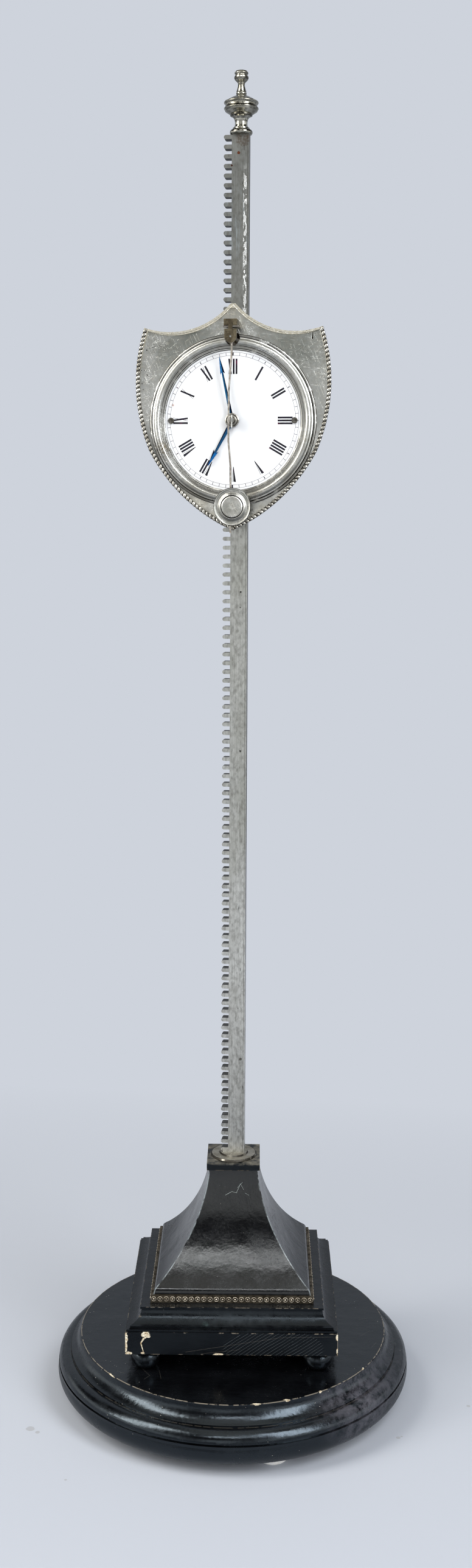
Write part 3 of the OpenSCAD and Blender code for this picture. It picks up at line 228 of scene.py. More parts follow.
def agedNickelSilver(name, settings):
    # nickel silver, spun and rubbed: a warm grey metal with dull patches, fine scratches and small dark pits
    made, tree = newFinish(name)
    coords = millimetres(tree, settings.get("centre", (0, 0, 0)))
    tarnish = cloud(tree, coords, settings["patch"], 6.0, 0.4, 0.62)
    mottle = cloud(tree, coords, 1.7, 6.0, 0.38, 0.66)
    lines = fold(tree, "MAXIMUM", *[scratches(tree, coords, *line) for line in (
        (24, 7.0, 0.13, 0.66), (-52, 9.0, 0.15, 0.68), (83, 6.0, 0.12, 0.67))])
    pits = fold(
        tree, "MULTIPLY", specks(tree, coords, 1.7, 0.14), cloud(tree, coords, 9.0, 3.0, 0.5, 0.58), 0.85)
    colour = tint(tree, settings["bright"], settings["dull"], tarnish)
    for start, end, tone, share in settings.get("tones", []):
        run = ramp(tree, along(tree, coords, "Z"), start, end, 0.0, share)
        colour = tint(tree, colour, tone, run, cloud(tree, coords, 15.0, 5.0, 0.32, 0.6))
    colour = tint(tree, colour, settings["warm"], mottle, 0.42)
    colour = tint(tree, colour, "#eceadf", lines, settings["scratched"])
    # patches: stains and tarnish, and on the shield and bezel also painted reflection and painted shade
    for place, radius, tone, share in settings.get("stainsAndPaintedLight", []):
        patchOfStainAndPaintedLight = spot(tree, coords, place, radius, radius * 0.8, soft=0.8)
        colour = tint(tree, colour, tone, patchOfStainAndPaintedLight, cloud(tree, coords, 1.1, 6.0, 0.3, 0.62), share)
    if "lightMarks" in settings:
        colour = tint(tree, colour, "#f2efe4", marksOn(tree, coords, settings["lightMarks"]), 0.75)
    dark = [pits]
    if "grooves" in settings:
        away = radiusFrom(tree, coords, settings["axis"])
        broken = cloud(tree, coords, 4.5, 5.0, 0.3, 0.46)
        lit = cloud(tree, coords, 16.0, 2.0, 0.45, 0.5)
        for radius, half, share in settings["grooves"]:
            # dark bands at the groove radii: dirt in the turned grooves, and painted shade where a band is
            # wide
            dark.append(fold(tree, "MULTIPLY", band(tree, away, radius, half, 0.08), share, broken))
            # painted highlight: a pale line along the inner edge of each groove
            edge = band(tree, away, radius - half - 0.14, 0.06, 0.06)
            colour = tint(tree, colour, "#fbf9f0", edge, lit, 0.25)
    if "darkMarks" in settings:
        dark.append(marksOn(tree, coords, settings["darkMarks"]))
    # painted shade: dark bands at the heights of the finial's crevices
    for height, half, share in settings.get("rings", []):
        ring = band(tree, along(tree, coords, "Z"), height, half, 0.35)
        dark.append(fold(tree, "MULTIPLY", ring, share, cloud(tree, coords, 2.0, 4.0, 0.2, 0.5)))
    # pits, marks and dirt in the grooves darken the metal, and so do the bands of painted shade
    dark = fold(tree, "MAXIMUM", *dark)
    uneven = plus(tree, tarnish, (mottle, 0.6))
    return surface(made, {
        "Base Color": tint(tree, colour, "#231f1a", dark), "Metallic": 1.0,
        "Roughness": ramp(tree, uneven, 0.0, 1.6, settings["rough"] - 0.08, settings["rough"] + 0.14),
        "Normal": bumpFrom(tree, [(lines, -0.2), (dark, -0.8), (mottle, settings["relief"])], 0.00006)})


def edgedNickelSilver(name):
    # raised border: cream and polished on its top curves, with painted shade, near black, in the hollows of
    # its sides under the lobes
    made, tree = newFinish(name)
    coords = millimetres(tree, headCentre)
    mirrored = addNode(tree, "ShaderNodeVectorMath", {"operation": "ABSOLUTE", 0: coords})
    folded = addNode(tree, "ShaderNodeCombineXYZ", {
        0: along(tree, mirrored, "X"), 2: along(tree, coords, "Z")})

    def arcFrom(name, inward):
        # distance from an arc's middle, and the arc's radius less a step inward
        x, z, radius = shieldEdge[name]
        away = addNode(tree, "ShaderNodeVectorMath", {"operation": "DISTANCE", 0: folded, 1: (x, 0, z)})
        return (away, "Value"), radius - inward

    sides = []
    for name in ("side", "flank"):
        away, radius = arcFrom(name, shieldEdge["rimWidth"])
        sides.append(ramp(tree, away, radius, radius + 0.3))
    below = ramp(tree, along(tree, coords, "Z"), 38.6, 38.2)
    crest, radius = arcFrom("crest", 0.0)
    worn = cloud(tree, coords, 1.0, 6.0, 0.35, 0.62)
    line = fold(tree, "MULTIPLY", band(tree, crest, radius, 0.05, 0.1),
                cloud(tree, coords, 5.0, 4.0, 0.3, 0.5), 0.75)
    dirt = fold(tree, "MULTIPLY", specks(tree, coords, 0.75, 0.2, 0.5),
                cloud(tree, coords, 6.0, 4.0, 0.46, 0.56), ramp(tree, crest, radius - 0.05, radius - 0.25))
    # painted shade: the strip under the lobes is near black, so it shows dark between them
    paintedShadeUnderLobes = fold(tree, "MULTIPLY", fold(tree, "MAXIMUM", *sides), below, 0.94)
    dark = fold(tree, "MAXIMUM", line, dirt, paintedShadeUnderLobes)
    return surface(made, {
        "Base Color": tint(tree, tint(tree, "#f3efe2", "#c9c3b0", worn), "#2a241b", dark), "Metallic": 1.0,
        "Roughness": ramp(tree, worn, 0.0, 1.0, 0.28, 0.42),
        "Normal": bumpFrom(tree, [(worn, 0.4), (dark, -1.0)], 0.00008)})


def brushedSteel(name, settings):
    # flat steel bar, brushed lengthwise: grey film, rust spots, a pitted right edge, painted shade near black
    # between the teeth, darker towards the top, and a painted reflection lighter towards the foot
    made, tree = newFinish(name)
    coords = millimetres(tree)
    across, height = along(tree, coords, "X"), along(tree, coords, "Z")
    grain = cloud(tree, coords, 0.42, 5.0, 0.3, 0.7, (1, 1,
                                                      0.03))   # brush lines, wider than real ones to show
    film = cloud(tree, coords, 13.0, 6.0, 0.4, 0.62, (1, 1, 0.4))
    mottle = cloud(tree, coords, 1.3, 6.0, 0.42, 0.68, (1, 1, 0.55))
    colour = tint(tree, settings["bright"], settings["dull"], film)
    # tones by height; the lighter foot is a painted reflection of the pale floor
    for start, end, tone in settings["tones"]:
        colour = tint(tree, colour, tone, ramp(tree, height, start, end, 0.0, 0.8))
    streaks = cloud(tree, coords, 0.6, 3.0, 0.5, 0.62, (1, 1, 0.05))
    colour = tint(tree, colour, "#a9b2b6", streaks, band(tree, height, *settings["streaked"]), 0.75)
    colour = tint(tree, colour, settings["line"], grain, 0.4)
    colour = tint(tree, colour, "#5a564e", mottle, 0.45)
    pitted = fold(tree, "MULTIPLY", cloud(tree, coords, 0.8, 4.0, 0.5, 0.55, (1, 1, 0.35)),
                  band(tree, across, 3.5, 0.5, 0.45), band(tree, height, *settings["pitted"]))
    colour = tint(tree, colour, "#e9eaea", pitted, 0.95)
    nicks = cloud(tree, coords, 0.7, 4.0, 0.66, 0.7, (1, 1, 0.16))
    colour = tint(tree, colour, "#2e2b27", nicks, band(tree, across, 3.0, 1.3, 0.5), 0.75)
    colour = tint(tree, colour, "#3a3733", band(tree, across, 4.6, 0.05, 0.06), 0.8)
    place, radius, tone = settings["rust"]
    rust = spot(tree, coords, place, radius, radius - 0.1)
    colour = tint(tree, colour, tone, rust, cloud(tree, coords, 0.8, 5.0, 0.35, 0.6), 0.6)
    for x, z, radius, tone in settings["spots"]:
        colour = tint(tree, colour, tone, spot(tree, coords, (x, rackFront, z), radius, radius * 0.9), 0.92)
    # painted shade: side faces between the teeth, turned away from the front, go near black
    paintedShadeOnToothSides = fold(tree, "MULTIPLY", frontward(tree, -0.6, -0.3), ramp(tree, across, -2.4, -2.9))
    return surface(made, {
        "Base Color": tint(tree, colour, "#2d2a26", paintedShadeOnToothSides, 0.85), "Metallic": 1.0,
        "Roughness": ramp(tree, film, 0.0, 1.0, settings["rough"], settings["rough"] + 0.15),
        "Normal": bumpFrom(tree, [(grain, 0.5), (mottle, -0.5), (pitted, 0.8)], 0.00005)})


def turnedSteel(name, settings):
    # lathe-turned steel of the arbors, screws and rollers: fine even rings and a thin oil film
    made, tree = newFinish(name)
    coords = millimetres(tree)
    film = cloud(tree, coords, 1.6, 5.0, 0.38, 0.64)
    rings = cloud(tree, coords, 0.25, 2.0, 0.3, 0.7, (0.15, 1, 0.15))   # wider than real tool marks to show
    colour = tint(tree, settings["bright"], settings["dull"], film)
    return surface(made, {
        "Base Color": tint(tree, colour, settings["line"], rings, 0.3), "Metallic": 1.0,
        "Roughness": ramp(tree, film, 0.0, 1.0, settings["rough"], settings["rough"] + 0.15),
        "Normal": bumpFrom(tree, [(rings, 1.0)], 0.00002)})


def agedBrass(name, settings):
    # sheet brass, brushed one way and left to darken, with brown spots
    made, tree = newFinish(name)
    coords = millimetres(tree)
    patina = cloud(tree, coords, settings.get("patch", 8.0), 6.0, 0.38, 0.62)
    # brush lines, wider than real ones to show
    brush = cloud(tree, coords, 0.4, 3.0, 0.3, 0.7, settings.get("stretch", (0.04, 1, 1)))
    spots = fold(tree, "MULTIPLY", specks(tree, coords, 3.1, 0.25), 0.7)
    colour = tint(tree, settings["bright"], settings["dull"], patina)
    colour = tint(tree, colour, settings.get("line", "#6b4d1e"), brush, 0.22)
    colour = tint(tree, colour, "#3c2b15", spots)
    # patches of painted shade, near black, on the faces that look to the front
    for place, radius, tone in settings.get("stainsAndPaintedLight", []):
        patchOfStainAndPaintedLight = spot(tree, coords, place, radius, radius * 0.3, (1, 0, 1))
        colour = tint(tree, colour, tone, patchOfStainAndPaintedLight, frontward(tree, -0.3, -0.6))
    return surface(made, {
        "Base Color": colour, "Metallic": 1.0,
        "Roughness": ramp(tree, patina, 0.0, 1.0, settings["rough"], settings["rough"] + 0.18),
        "Normal": bumpFrom(tree, [(brush, 1.0), (spots, -0.6)], 0.00003)})


def boxEdges(tree, coords, half, low, high, width):
    # 1 near the edges of a square block about the middle line, from `low` to `high`
    flat = addNode(tree, "ShaderNodeVectorMath", {"operation": "ABSOLUTE", 0: coords})
    dx, dy = (fold(tree, "SUBTRACT", half, along(tree, flat, axis)) for axis in "XY")
    height = along(tree, coords, "Z")
    side = fold(tree, "MINIMUM", dx, dy)
    dz = fold(tree, "MINIMUM", fold(tree, "SUBTRACT", high, height), fold(tree, "SUBTRACT", height, low))
    nearest = fold(tree, "MINIMUM", fold(tree, "ADD", dx, dy), fold(tree, "ADD", side, dz))
    return fold(tree, "MULTIPLY", ramp(tree, nearest, width, width * 0.2), ramp(tree, side, -0.8, -0.4))


def ebonisedWood(name, settings):
    # pear wood stained black: deep gloss over fine waves, brown and grey where the edges are rubbed
    made, tree = newFinish(name)
    coords = millimetres(tree, turn=settings.get("turn", 0.0))
    height = along(tree, coords, "Z")
    grain = cloud(tree, coords, 0.6, 5.0, 0.35, 0.7, settings["grain"])
    cloudy = cloud(tree, coords, 15.0, 6.0, 0.38, 0.66)
    fine = cloud(tree, coords, 1.3, 6.0, 0.4, 0.7)
    colour = tint(tree, "#030304", "#08090b", cloudy)
    colour = tint(tree, colour, "#111215", grain, 0.3)
    raised = [(grain, 0.12), (fine, 0.1), (cloudy, 1.6)]
    rough = ramp(tree, plus(tree, cloudy, (fine, 0.7)), 0.0, 1.7,
                 settings["rough"] - 0.05, settings["rough"] + 0.12)
    if "arris" in settings:
        flat = addNode(tree, "ShaderNodeVectorMath", {"operation": "ABSOLUTE", 0: coords})
        apart = fold(tree, "SUBTRACT", along(tree, flat, "X"), along(tree, flat, "Y"))
        corner = band(tree, apart, 0.0, settings["arris"] * 0.4, settings["arris"])
        colour = tint(tree, colour, "#7f8688", corner, cloud(tree, coords, 5.0, 6.0, 0.4, 0.55))
    edges = [boxEdges(tree, coords, *settings["box"])] if "box" in settings else []
    for radius, level, width, share in settings.get("rims", []):
        ring = band(tree, radiusFrom(tree, coords, "Z"), radius, width * 0.3, width)
        edges.append(fold(tree, "MULTIPLY", ring, band(tree, height, level, width * 0.3, width), share))
    if edges:
        low = settings.get("wornLow", 0.48)
        worn = fold(tree, "MULTIPLY", fold(tree, "MAXIMUM", *edges),
                    cloud(tree, coords, 2.6, 6.0, low, low + 0.07))
        colour = tint(tree, colour, settings.get("worn", "#8d8170"), worn, settings.get("rubbed", 0.6))
        raised.append((worn, -1.0))
    for place, radius, tone, share, stretch in settings.get("dusty", []):
        patch = fold(tree, "MULTIPLY", spot(tree, coords, place, radius, radius * 0.7, stretch, 0.9),
                     cloud(tree, coords, 5.0, 9.0, 0.4, 0.66, (1, 1, 1), (0.5, 0.3, 0.2), 0.7))
        if "dustyBelow" in settings:
            patch = fold(tree, "MULTIPLY", patch, ramp(
                tree, height, settings["dustyBelow"], settings["dustyBelow"] - 0.4))
        colour = tint(tree, colour, tone, patch, share)
        rough = plus(tree, rough, (patch, 0.3))
    if "ridges" in settings:
        # slanting ridges of open grain on the front of the slab
        turned = addNode(tree, "ShaderNodeMapping", {"Vector": coords, "Rotation": (0, math.radians(34), 0)})
        waves = addNode(tree, "ShaderNodeTexWave", {
            "wave_type": "BANDS", "bands_direction": "Z", "Vector": turned,
            "Scale": 0.24, "Distortion": 2.2, "Detail": 2.0, "Detail Scale": 0.4})
        ridge = fold(tree, "MULTIPLY", ramp(tree, (waves, "Fac"), 0.72, 0.9),
                     spot(tree, coords, settings["ridges"], 24.0, 8.0, (1, 1, 2.6)),
                     ramp(tree, along(tree, coords, "Y"), slabFront + 0.5, slabFront + 0.2))
        raised.append((ridge, 4.0))
        colour = tint(tree, colour, "#2f2d2c", ridge, 0.12)
    if "lightMarks" in settings:
        items, plane, level, tone, share = settings["lightMarks"]
        marks = marksOn(tree, coords, items, plane, level)
        colour = tint(tree, colour, tone, marks, cloud(tree, coords, 0.9, 5.0, 0.3, 0.45), share)
    if "chips" in settings:
        chips = [spot(tree, coords, place, radius, radius * 0.9, stretch)
                 for place, radius, stretch in settings["chips"]]
        chips += [stroke(tree, coords, *line) for line in settings["chipLines"]]
        chipped = fold(tree, "MULTIPLY", fold(tree, "MAXIMUM", *chips),
                       cloud(tree, coords, 0.9, 6.0, 0.3, 0.42))
        bare = tint(tree, "#efe6cf", "#a8906a", cloud(tree, coords, 1.0))
        colour = tint(tree, colour, bare, chipped)
        raised.append((chipped, -4.0))
        rough = plus(tree, rough, (chipped, 0.5))
    dust = fold(tree, "MULTIPLY", specks(tree, coords, 2.3, 0.15), cloud(tree, coords, 11.0, 4.0, 0.5, 0.6))
    colour = tint(tree, colour, settings.get("dustTone", "#8d8880"), dust, settings.get("dust", 0.35))
    return surface(made, {
        "Base Color": colour, "Roughness": rough,
        "Normal": bumpFrom(tree, raised, settings.get("depth", 0.00007)),
        "Specular IOR Level": settings.get("gloss", 0.5),
        "Specular Tint": linearColour(settings.get("tint", "#d6e8f6"))})


def firedEnamel(name):
    # white vitreous enamel over copper: glassy, faintly uneven, with fine scratches and one brown speck
    made, tree = newFinish(name)
    coords = millimetres(tree, headCentre)
    uneven = cloud(tree, coords, 11.0, 3.0, 0.35, 0.7)
    lines = fold(tree, "MULTIPLY", scratches(tree, coords, 62, 8.0, 0.3, 0.72), 0.25)
    colour = tint(tree, "#dfdfdf", "#dcdddd", uneven)
    colour = tint(tree, colour, "#cfcbc6", lines)
    fine = marksOn(tree, coords, [
        (-21.5, 6.8, -17.2, 7.2, 0.07), (-22.4, 5.0, -18.6, 5.4, 0.06), (-20.0, 8.6, -16.4, 8.0, 0.05),
        (7.0, 19.0, 8.8, 20.6, 0.06), (-2.4, 6.4, -3.2, 7.4, 0.08)])
    colour = tint(tree, colour, "#a9a39a", fine, 0.45)
    speck, halo = (marksOn(tree, coords, [(-26.0, 6.6, radius)]) for radius in (0.34, 0.75))
    patchOfStainAndPaintedLight = fold(tree, "MAXIMUM", speck, fold(tree, "MULTIPLY", halo, 0.35))
    return surface(made, {
        "Base Color": tint(tree, colour, "#9a6240", patchOfStainAndPaintedLight, 0.75), "Roughness": 0.14,
        "Normal": bumpFrom(tree, [(uneven, 1.0), (lines, -1.0)], 0.00002)})


def bluedSteel(name, settings):
    # polished steel tempered to blue, with painted light and shade: lit blue on one side of its middle line,
    # painted shade near black on the other
    made, tree = newFinish(name)
    coords = millimetres(tree, headCentre)
    colour = tint(tree, settings["bright"], settings["dull"], cloud(tree, coords, 2.5))
    if "angle" in settings:
        a = math.radians(settings["angle"])
        across, ahead = ((addNode(tree, "ShaderNodeVectorMath", {
            "operation": "DOT_PRODUCT", 0: coords, 1: way}), "Value") for way in (
                (math.cos(a), 0, -math.sin(a)), (math.sin(a), 0, math.cos(a))))
        colour = tint(tree, colour, settings["shaft"], ramp(
            tree, ahead, settings["head"] - 1.5, settings["head"], 0.8, 0.0))
        # painted shade on the far side of the middle line
        colour = tint(tree, colour, settings["shade"], ramp(
            tree, across, settings["turn"] - 0.04, settings["turn"] + 0.08))
    rings = cloud(tree, coords, 0.3, 2.0, 0.35, 0.7)
    return surface(made, {
        "Base Color": colour, "Metallic": 1.0, "Roughness": settings["rough"],
        "Normal": bumpFrom(tree, [(rings, 1.0)], 0.00001)})


def mouldedPlastic(name):
    # white moulded furniture glide, faintly yellowed and scuffed
    made, tree = newFinish(name)
    scuff = cloud(tree, millimetres(tree), 2.5, 5.0, 0.4, 0.7)
    return surface(made, {
        "Base Color": tint(tree, "#fbf9f4", "#efeae0", scuff), "Roughness": 0.45,
        "Normal": bumpFrom(tree, [(scuff, 1.0)], 0.00004)})


print("finishes ready to be made")

nickel = {
    "bright": "#d9dad7", "dull": "#b1b3b0", "warm": "#9b968b",
    "rough": 0.3, "patch": 13.0, "scratched": 0.28, "relief": 0.14}
finishes = {
    "shield": agedNickelSilver("nickelSilverRubbed", {
        **nickel, "centre": headCentre,
        # darker towards the top, lighter and creamier towards the foot; the grey patch at the upper right is
        # a painted reflection of something dark
        "tones": [(8.0, 34.0, "#7f837d", 0.9), (-26.0, -42.0, "#ece4cf", 0.95)],
        "stainsAndPaintedLight": [((30.0, -24.0, 26.0), 11.0, "#7a7d78", 0.7), ((0.0, -24.0, 45.0), 7.0, "#c9c3b4", 0.6)],
        "darkMarks": [
            (-37.6, 29.9, 0.3), (-36.3, 30.7, 0.18), (-35.4, 31.0, -33.6, 31.4, 0.16),
            (-32.4, 31.9, -29.7, 30.2, 0.2, 0.1), (-41.3, 23.0, 0.45), (-40.8, 26.3, 0.25),
            (-40.0, 21.4, 0.22), (-38.7, 21.4, 0.2), (-37.5, 19.4, 0.3), (-38.8, 18.0, 0.18),
            (-36.7, 16.4, 0.25), (-39.8, 15.8, 0.22), (-39.3, 13.4, 0.2), (-41.0, 29.0, 0.25),
            (34.0, 36.8, 34.0, 34.2, 0.22, 0.42), (21.5, 36.4, 22.6, 37.4, 0.14),
            (-14.0, -35.6, -11.6, -36.2, 0.12), (19.5, -34.5, 21.0, -33.8, 0.14)],
        "lightMarks": [
            (37.0, 15.4, 39.0, 10.6, 0.13), (36.2, 14.0, 37.6, 10.2, 0.08), (38.0, 22.0, 0.22),
            (36.4, 24.6, 0.18), (39.4, 25.8, 0.16), (35.6, 19.6, 0.16), (38.8, 18.4, 0.2),
            (-34.6, 25.6, -36.8, 21.0, 0.12), (-33.0, 27.4, -31.0, 21.0, 0.1),
            (-35.4, 17.0, -33.0, 19.8, 0.1), (-30.0, 33.4, 0.22), (-24.0, 31.0, 0.2), (-16.0, 36.4, 0.2),
            (11.0, 36.6, 0.16), (24.4, 30.0, 0.14), (-40.0, 5.0, -38.4, 9.0, 0.1)]}),
    "bezel": agedNickelSilver("nickelSilverSpun", {
        **nickel, "bright": "#d6d7d4", "dull": "#adaea9", "centre": headCentre, "axis": "Y",
        "patch": 18.0, "relief": 0.04,
        # darker and browner towards the bottom, and the grey patch low down: painted shade with a brown tint;
        # the brown patch at the left is tarnish
        "tones": [(-10.0, -34.0, "#777264", 0.85)],
        "stainsAndPaintedLight": [((-30.5, -27.0, -12.0), 6.0, "#6e6148", 0.85), ((10.0, -27.0, -33.5), 7.0, "#7c7566", 0.6),
                   ((33.0, -27.0, -9.0), 6.0, "#8a8474", 0.5)],
        "lightMarks": [
            (-34.6, -14.6, -28.6, -11.6, 0.1), (-32.6, -13.4, -31.2, -16.4, 0.1),
            (-30.6, -16.6, -26.4, -18.4, 0.08)],
        # the wide band at 35.6 mm is painted shade that dims the outer step
        "grooves": [(36.15, 0.16, 1.0), (35.6, 0.3, 0.4), (35.0, 0.16, 1.0), (30.5, 0.6, 0.25),
                    (31.25, 0.08, 0.9), (30.75, 0.06, 0.7), (30.2, 0.1, 0.95), (29.5, 0.12, 0.9)]}),
    "rim": edgedNickelSilver("nickelSilverEdge"),
    "lobes": agedNickelSilver("nickelSilverRope", {
        **nickel, "bright": "#d8d6ce", "dull": "#928e85", "warm": "#5d594f", "centre": headCentre,
        "rough": 0.34, "patch": 3.0}),
    "bob": agedNickelSilver("nickelSilverBob", {
        **nickel, "bright": "#d0d0cb", "dull": "#a6a7a1", "rough": 0.32, "patch": 4.0, "relief": 0.02,
        "centre": (rackAxis + 0.8 * mm, 0, headHeight - 36.7 * mm), "axis": "Y",
        "darkMarks": [
            (3.1, -0.9, 0.14), (2.6, -0.2, 0.1), (6.9, 0.2, 0.16)],
        "lightMarks": [
            (0.0, 2.2, 1.4, -1.0, 0.12), (1.4, -1.0, 2.6, -2.2, 0.1)],
        # the wide band at 5.6 mm is painted shadow
        "grooves": [(4.8, 0.14, 1.0), (8.0, 0.12, 0.9), (6.6, 0.08, 0.6), (5.6, 0.35, 0.35)]}),
    "finial": agedNickelSilver("nickelSilverTurned", {
        **nickel, "bright": "#bdbbb0", "dull": "#7b796e", "centre": (rackAxis, 0, 0),
        "rough": 0.17, "patch": 5.0, "relief": 0.03, "scratched": 0.1,
        # rings: painted shade in the crevices, as (height, half width, share)
        "rings": [(603.9, 0.1, 0.8), (601.4, 0.15, 0.7), (596.2, 0.3, 0.6), (592.1, 0.2, 0.8),
                  (588.8, 0.25, 0.85), (586.4, 0.1, 0.6), (582.3, 0.3, 0.8)]}),
    "collar": agedNickelSilver("nickelSilverCollar", {
        **nickel, "bright": "#bfbbb0", "dull": "#8f8b80", "axis": "Z", "rough": 0.5, "patch": 4.0,
        "grooves": [(10.6, 0.3, 0.9), (6.6, 0.2, 0.9)]}),
    "collet": agedNickelSilver("nickelSilverCollet", {
        **nickel, "bright": "#a8a69d", "dull": "#6b6962", "centre": headCentre, "axis": "Y", "patch": 1.5,
        "grooves": [(2.35, 0.14, 1.0), (1.35, 0.2, 0.9)]}),
    "rack": brushedSteel("steelBarBrushed", {
        "bright": "#d8d9d5", "dull": "#bbbcb6", "line": "#7c7d77", "rough": 0.3,
        # darker towards the top; lighter towards the foot, a painted reflection of the pale floor
        "tones": [(455.0, 500.0, "#797b79"), (290.0, 180.0, "#efefeb")],
        "streaked": (544.0, 8.0, 10.0), "pitted": (530.0, 30.0, 10.0),
        "rust": ((2.6, rackFront, 579.0), 3.6, "#54402f"),
        "spots": [(0.6, 573.1, 0.7, "#6e3a22"), (-2.4, 567.9, 0.5, "#4a241a"), (2.5, 311.5, 0.5, "#3c3a36"),
                  (3.3, 164.7, 0.7, "#6a6862"), (-5.1, 561.4, 0.55, "#7a5a3c"), (2.4, 384.0, 0.45, "#2f2d2a"),
                  (2.2, 377.0, 0.3, "#35322e")]}),
    "steel": turnedSteel("steelTurned", {
        "bright": "#c6c7c5", "dull": "#9a9b97", "line": "#6e6e6a", "rough": 0.24}),
    "dullSteel": turnedSteel("steelDull", {
        "bright": "#a9a49c", "dull": "#7d766e", "line": "#544e48", "rough": 0.36}),
    "screwSteel": turnedSteel("steelScrewDark", {
        "bright": "#8d8b84", "dull": "#55514b", "line": "#2e2b27", "rough": 0.33}),
    "minuteBlue": bluedSteel("steelBluedMinute", {
        "bright": "#3c8fcf", "dull": "#2b6aa6", "shaft": "#2f6c92", "shade": "#141a33",
        "angle": 348, "head": 20.0, "turn": 0.1, "rough": 0.22}),
    "hourBlue": bluedSteel("steelBluedHour", {
        "bright": "#2b84d0", "dull": "#1f5fa6", "shaft": "#2a5676", "shade": "#182140",
        "angle": 209, "head": 16.0, "turn": 0.25, "rough": 0.22}),
    "blueScrew": bluedSteel("steelBluedScrew", {"bright": "#2b3f63", "dull": "#1a2236", "rough": 0.3}),
    # the near-black patches on the brass are painted shade near the pendulum cock
    "brass": agedBrass("brassSheet", {
        "bright": "#c9a24c", "dull": "#9a7a3c", "rough": 0.34,
        "stainsAndPaintedLight": [((1.4, 0.0, 494.0), 7.0, "#0e0b08")]}),
    "brassDark": agedBrass("brassSheetDull", {
        "bright": "#8f7136", "dull": "#5c4724", "rough": 0.42,
        "stainsAndPaintedLight": [((1.4, 0.0, 492.2), 9.0, "#0e0b08")]}),
    "brassWheel": agedBrass("brassWheel", {
        "bright": "#d1aa52", "dull": "#a98644", "rough": 0.3, "stretch": (1, 1, 1)}),
    "strip": agedBrass("brassPressedStrip", {
        "bright": "#7d7363", "dull": "#3e382e", "rough": 0.45, "patch": 3.0, "line": "#221d17"}),
    "pearls": agedBrass("brassPearls", {
        "bright": "#d3c9b8", "dull": "#9b9182", "rough": 0.36, "patch": 4.0, "line": "#4d4438"}),
    "bronze": agedBrass("bronzeDark", {
        "bright": "#8d836c", "dull": "#554d3f", "rough": 0.32, "patch": 2.5, "line": "#2a241c"}),
    "enamel": firedEnamel("enamelFired"),
    "glide": mouldedPlastic("plasticMoulded"),
    "base": ebonisedWood("pearWoodTurned", {
        "grain": (0.08, 1, 1), "rough": 0.2, "depth": 0.00008, "gloss": 0.8,
        "rims": [(73.5, baseTop, 0.32, 1.0), (78.3, 21.6, 0.25, 0.16)],
        "worn": "#988d7b", "wornLow": 0.42, "rubbed": 0.7, "dust": 0.9, "dustTone": "#cfcac0",
        "dusty": [((63.0, -46.0, 20.0), 29.0, "#75727a", 0.55, (1, 1, 1)),
                  ((72.0, -18.0, 18.0), 24.0, "#5c5a61", 0.4, (1, 1, 1)),
                  ((-66.0, -30.0, 20.0), 14.0, "#2c2e30", 0.4, (1, 1, 1))], "dustyBelow": baseTop - 0.1,
        "chips": [((47.0, -56.5, 29.6), 0.8, (1, 1, 1)), ((33.0, -65.6, baseTop), 0.8, (0.4, 1, 1)),
                  ((-31.8, -73.5, 22.5), 0.9, (1, 1, 1)), ((20.0, -70.7, baseTop), 0.7, (0.3, 1, 1)),
                  ((65.0, -34.2, baseTop), 0.6, (1, 0.5, 1))],
        "chipLines": [((-50.0, -53.9, baseTop), (-46.5, -57.6, 29.2), 0.6, 0.4),
                      ((-46.5, -57.6, 29.2), (-44.0, -62.5, 25.0), 0.4, 0.3),
                      ((-44.0, -62.5, 25.0), (-41.6, -66.5, 22.4), 0.3, 0.12)],
        "lightMarks": ([
            (-47.3, -50.9, -43.3, -52.5, 0.1), (-36.0, -47.5, -31.5, -53.0, 0.1),
            (-31.5, -53.0, -33.5, -56.5, 0.1), (-28.0, -48.0, -25.9, -55.1, 0.08),
            (62.0, -4.0, 66.5, 2.0, 0.1), (68.0, -14.0, 70.0, -9.0, 0.1), (60.0, 12.0, 66.0, 15.0, 0.08),
            (52.0, -30.0, 57.0, -27.0, 0.08)
        ], "XY", baseTop, "#8b867c", 0.25)}),
    "feet": ebonisedWood("pearWoodFeet", {
        "grain": (1, 1, 0.1), "rough": 0.18,
        "dusty": [((38.0, -50.0, 33.0), 9.0, "#6a5f50", 0.5, (1, 1, 1))]}),
    "slab": ebonisedWood("pearWoodSlab", {
        "grain": (0.06, 1, 1), "rough": 0.3, "turn": pedestalTurn, "ridges": (20.0, slabFront, 43.5),
        "box": (-slabFront, 39.7, 50.4, 0.4), "worn": "#8d8272", "wornLow": 0.53,
        "chips": [
            ((-48.3, slabFront, 47.6), 1.5, (1.4, 0.4, 0.5)),
            ((-48.3, slabFront, 43.6), 1.3, (1.6, 0.4, 0.45)),
            ((-47.0, slabFront, 40.2), 1.2, (0.7, 0.4, 1.3)),
            ((-39.2, slabFront, 49.2), 1.9, (0.85, 0.4, 1.1)),
            ((-40.6, slabFront, 40.4), 0.6, (0.6, 0.4, 1.0)),
            ((48.2, slabFront, 48.6), 0.9, (1.2, 0.5, 0.5)),
            ((48.3, -48.4, 42.0), 0.7, (1.4, 0.7, 0.4)),
            ((-6.0, slabFront, 39.9), 1.0, (0.4, 0.5, 1.2))],
        "chipLines": [((-40.0, slabFront, 47.6), (-41.4, slabFront, 45.2), 0.5, 0.35),
                      ((-41.4, slabFront, 45.2), (-40.3, slabFront, 41.2), 0.35, 0.25)],
        "lightMarks": ([
            (-21.0, 41.0, 22.5, 48.4, 0.12), (-14.0, 40.2, 4.0, 42.4, 0.1), (22.5, 48.4, 46.0, 49.0, 0.1)
        ], "XZ", slabFront, "#6b655d", 0.45)}),
    "moulding": ebonisedWood("pearWoodMoulding", {
        "grain": (0.06, 1, 1), "rough": 0.24, "turn": pedestalTurn,
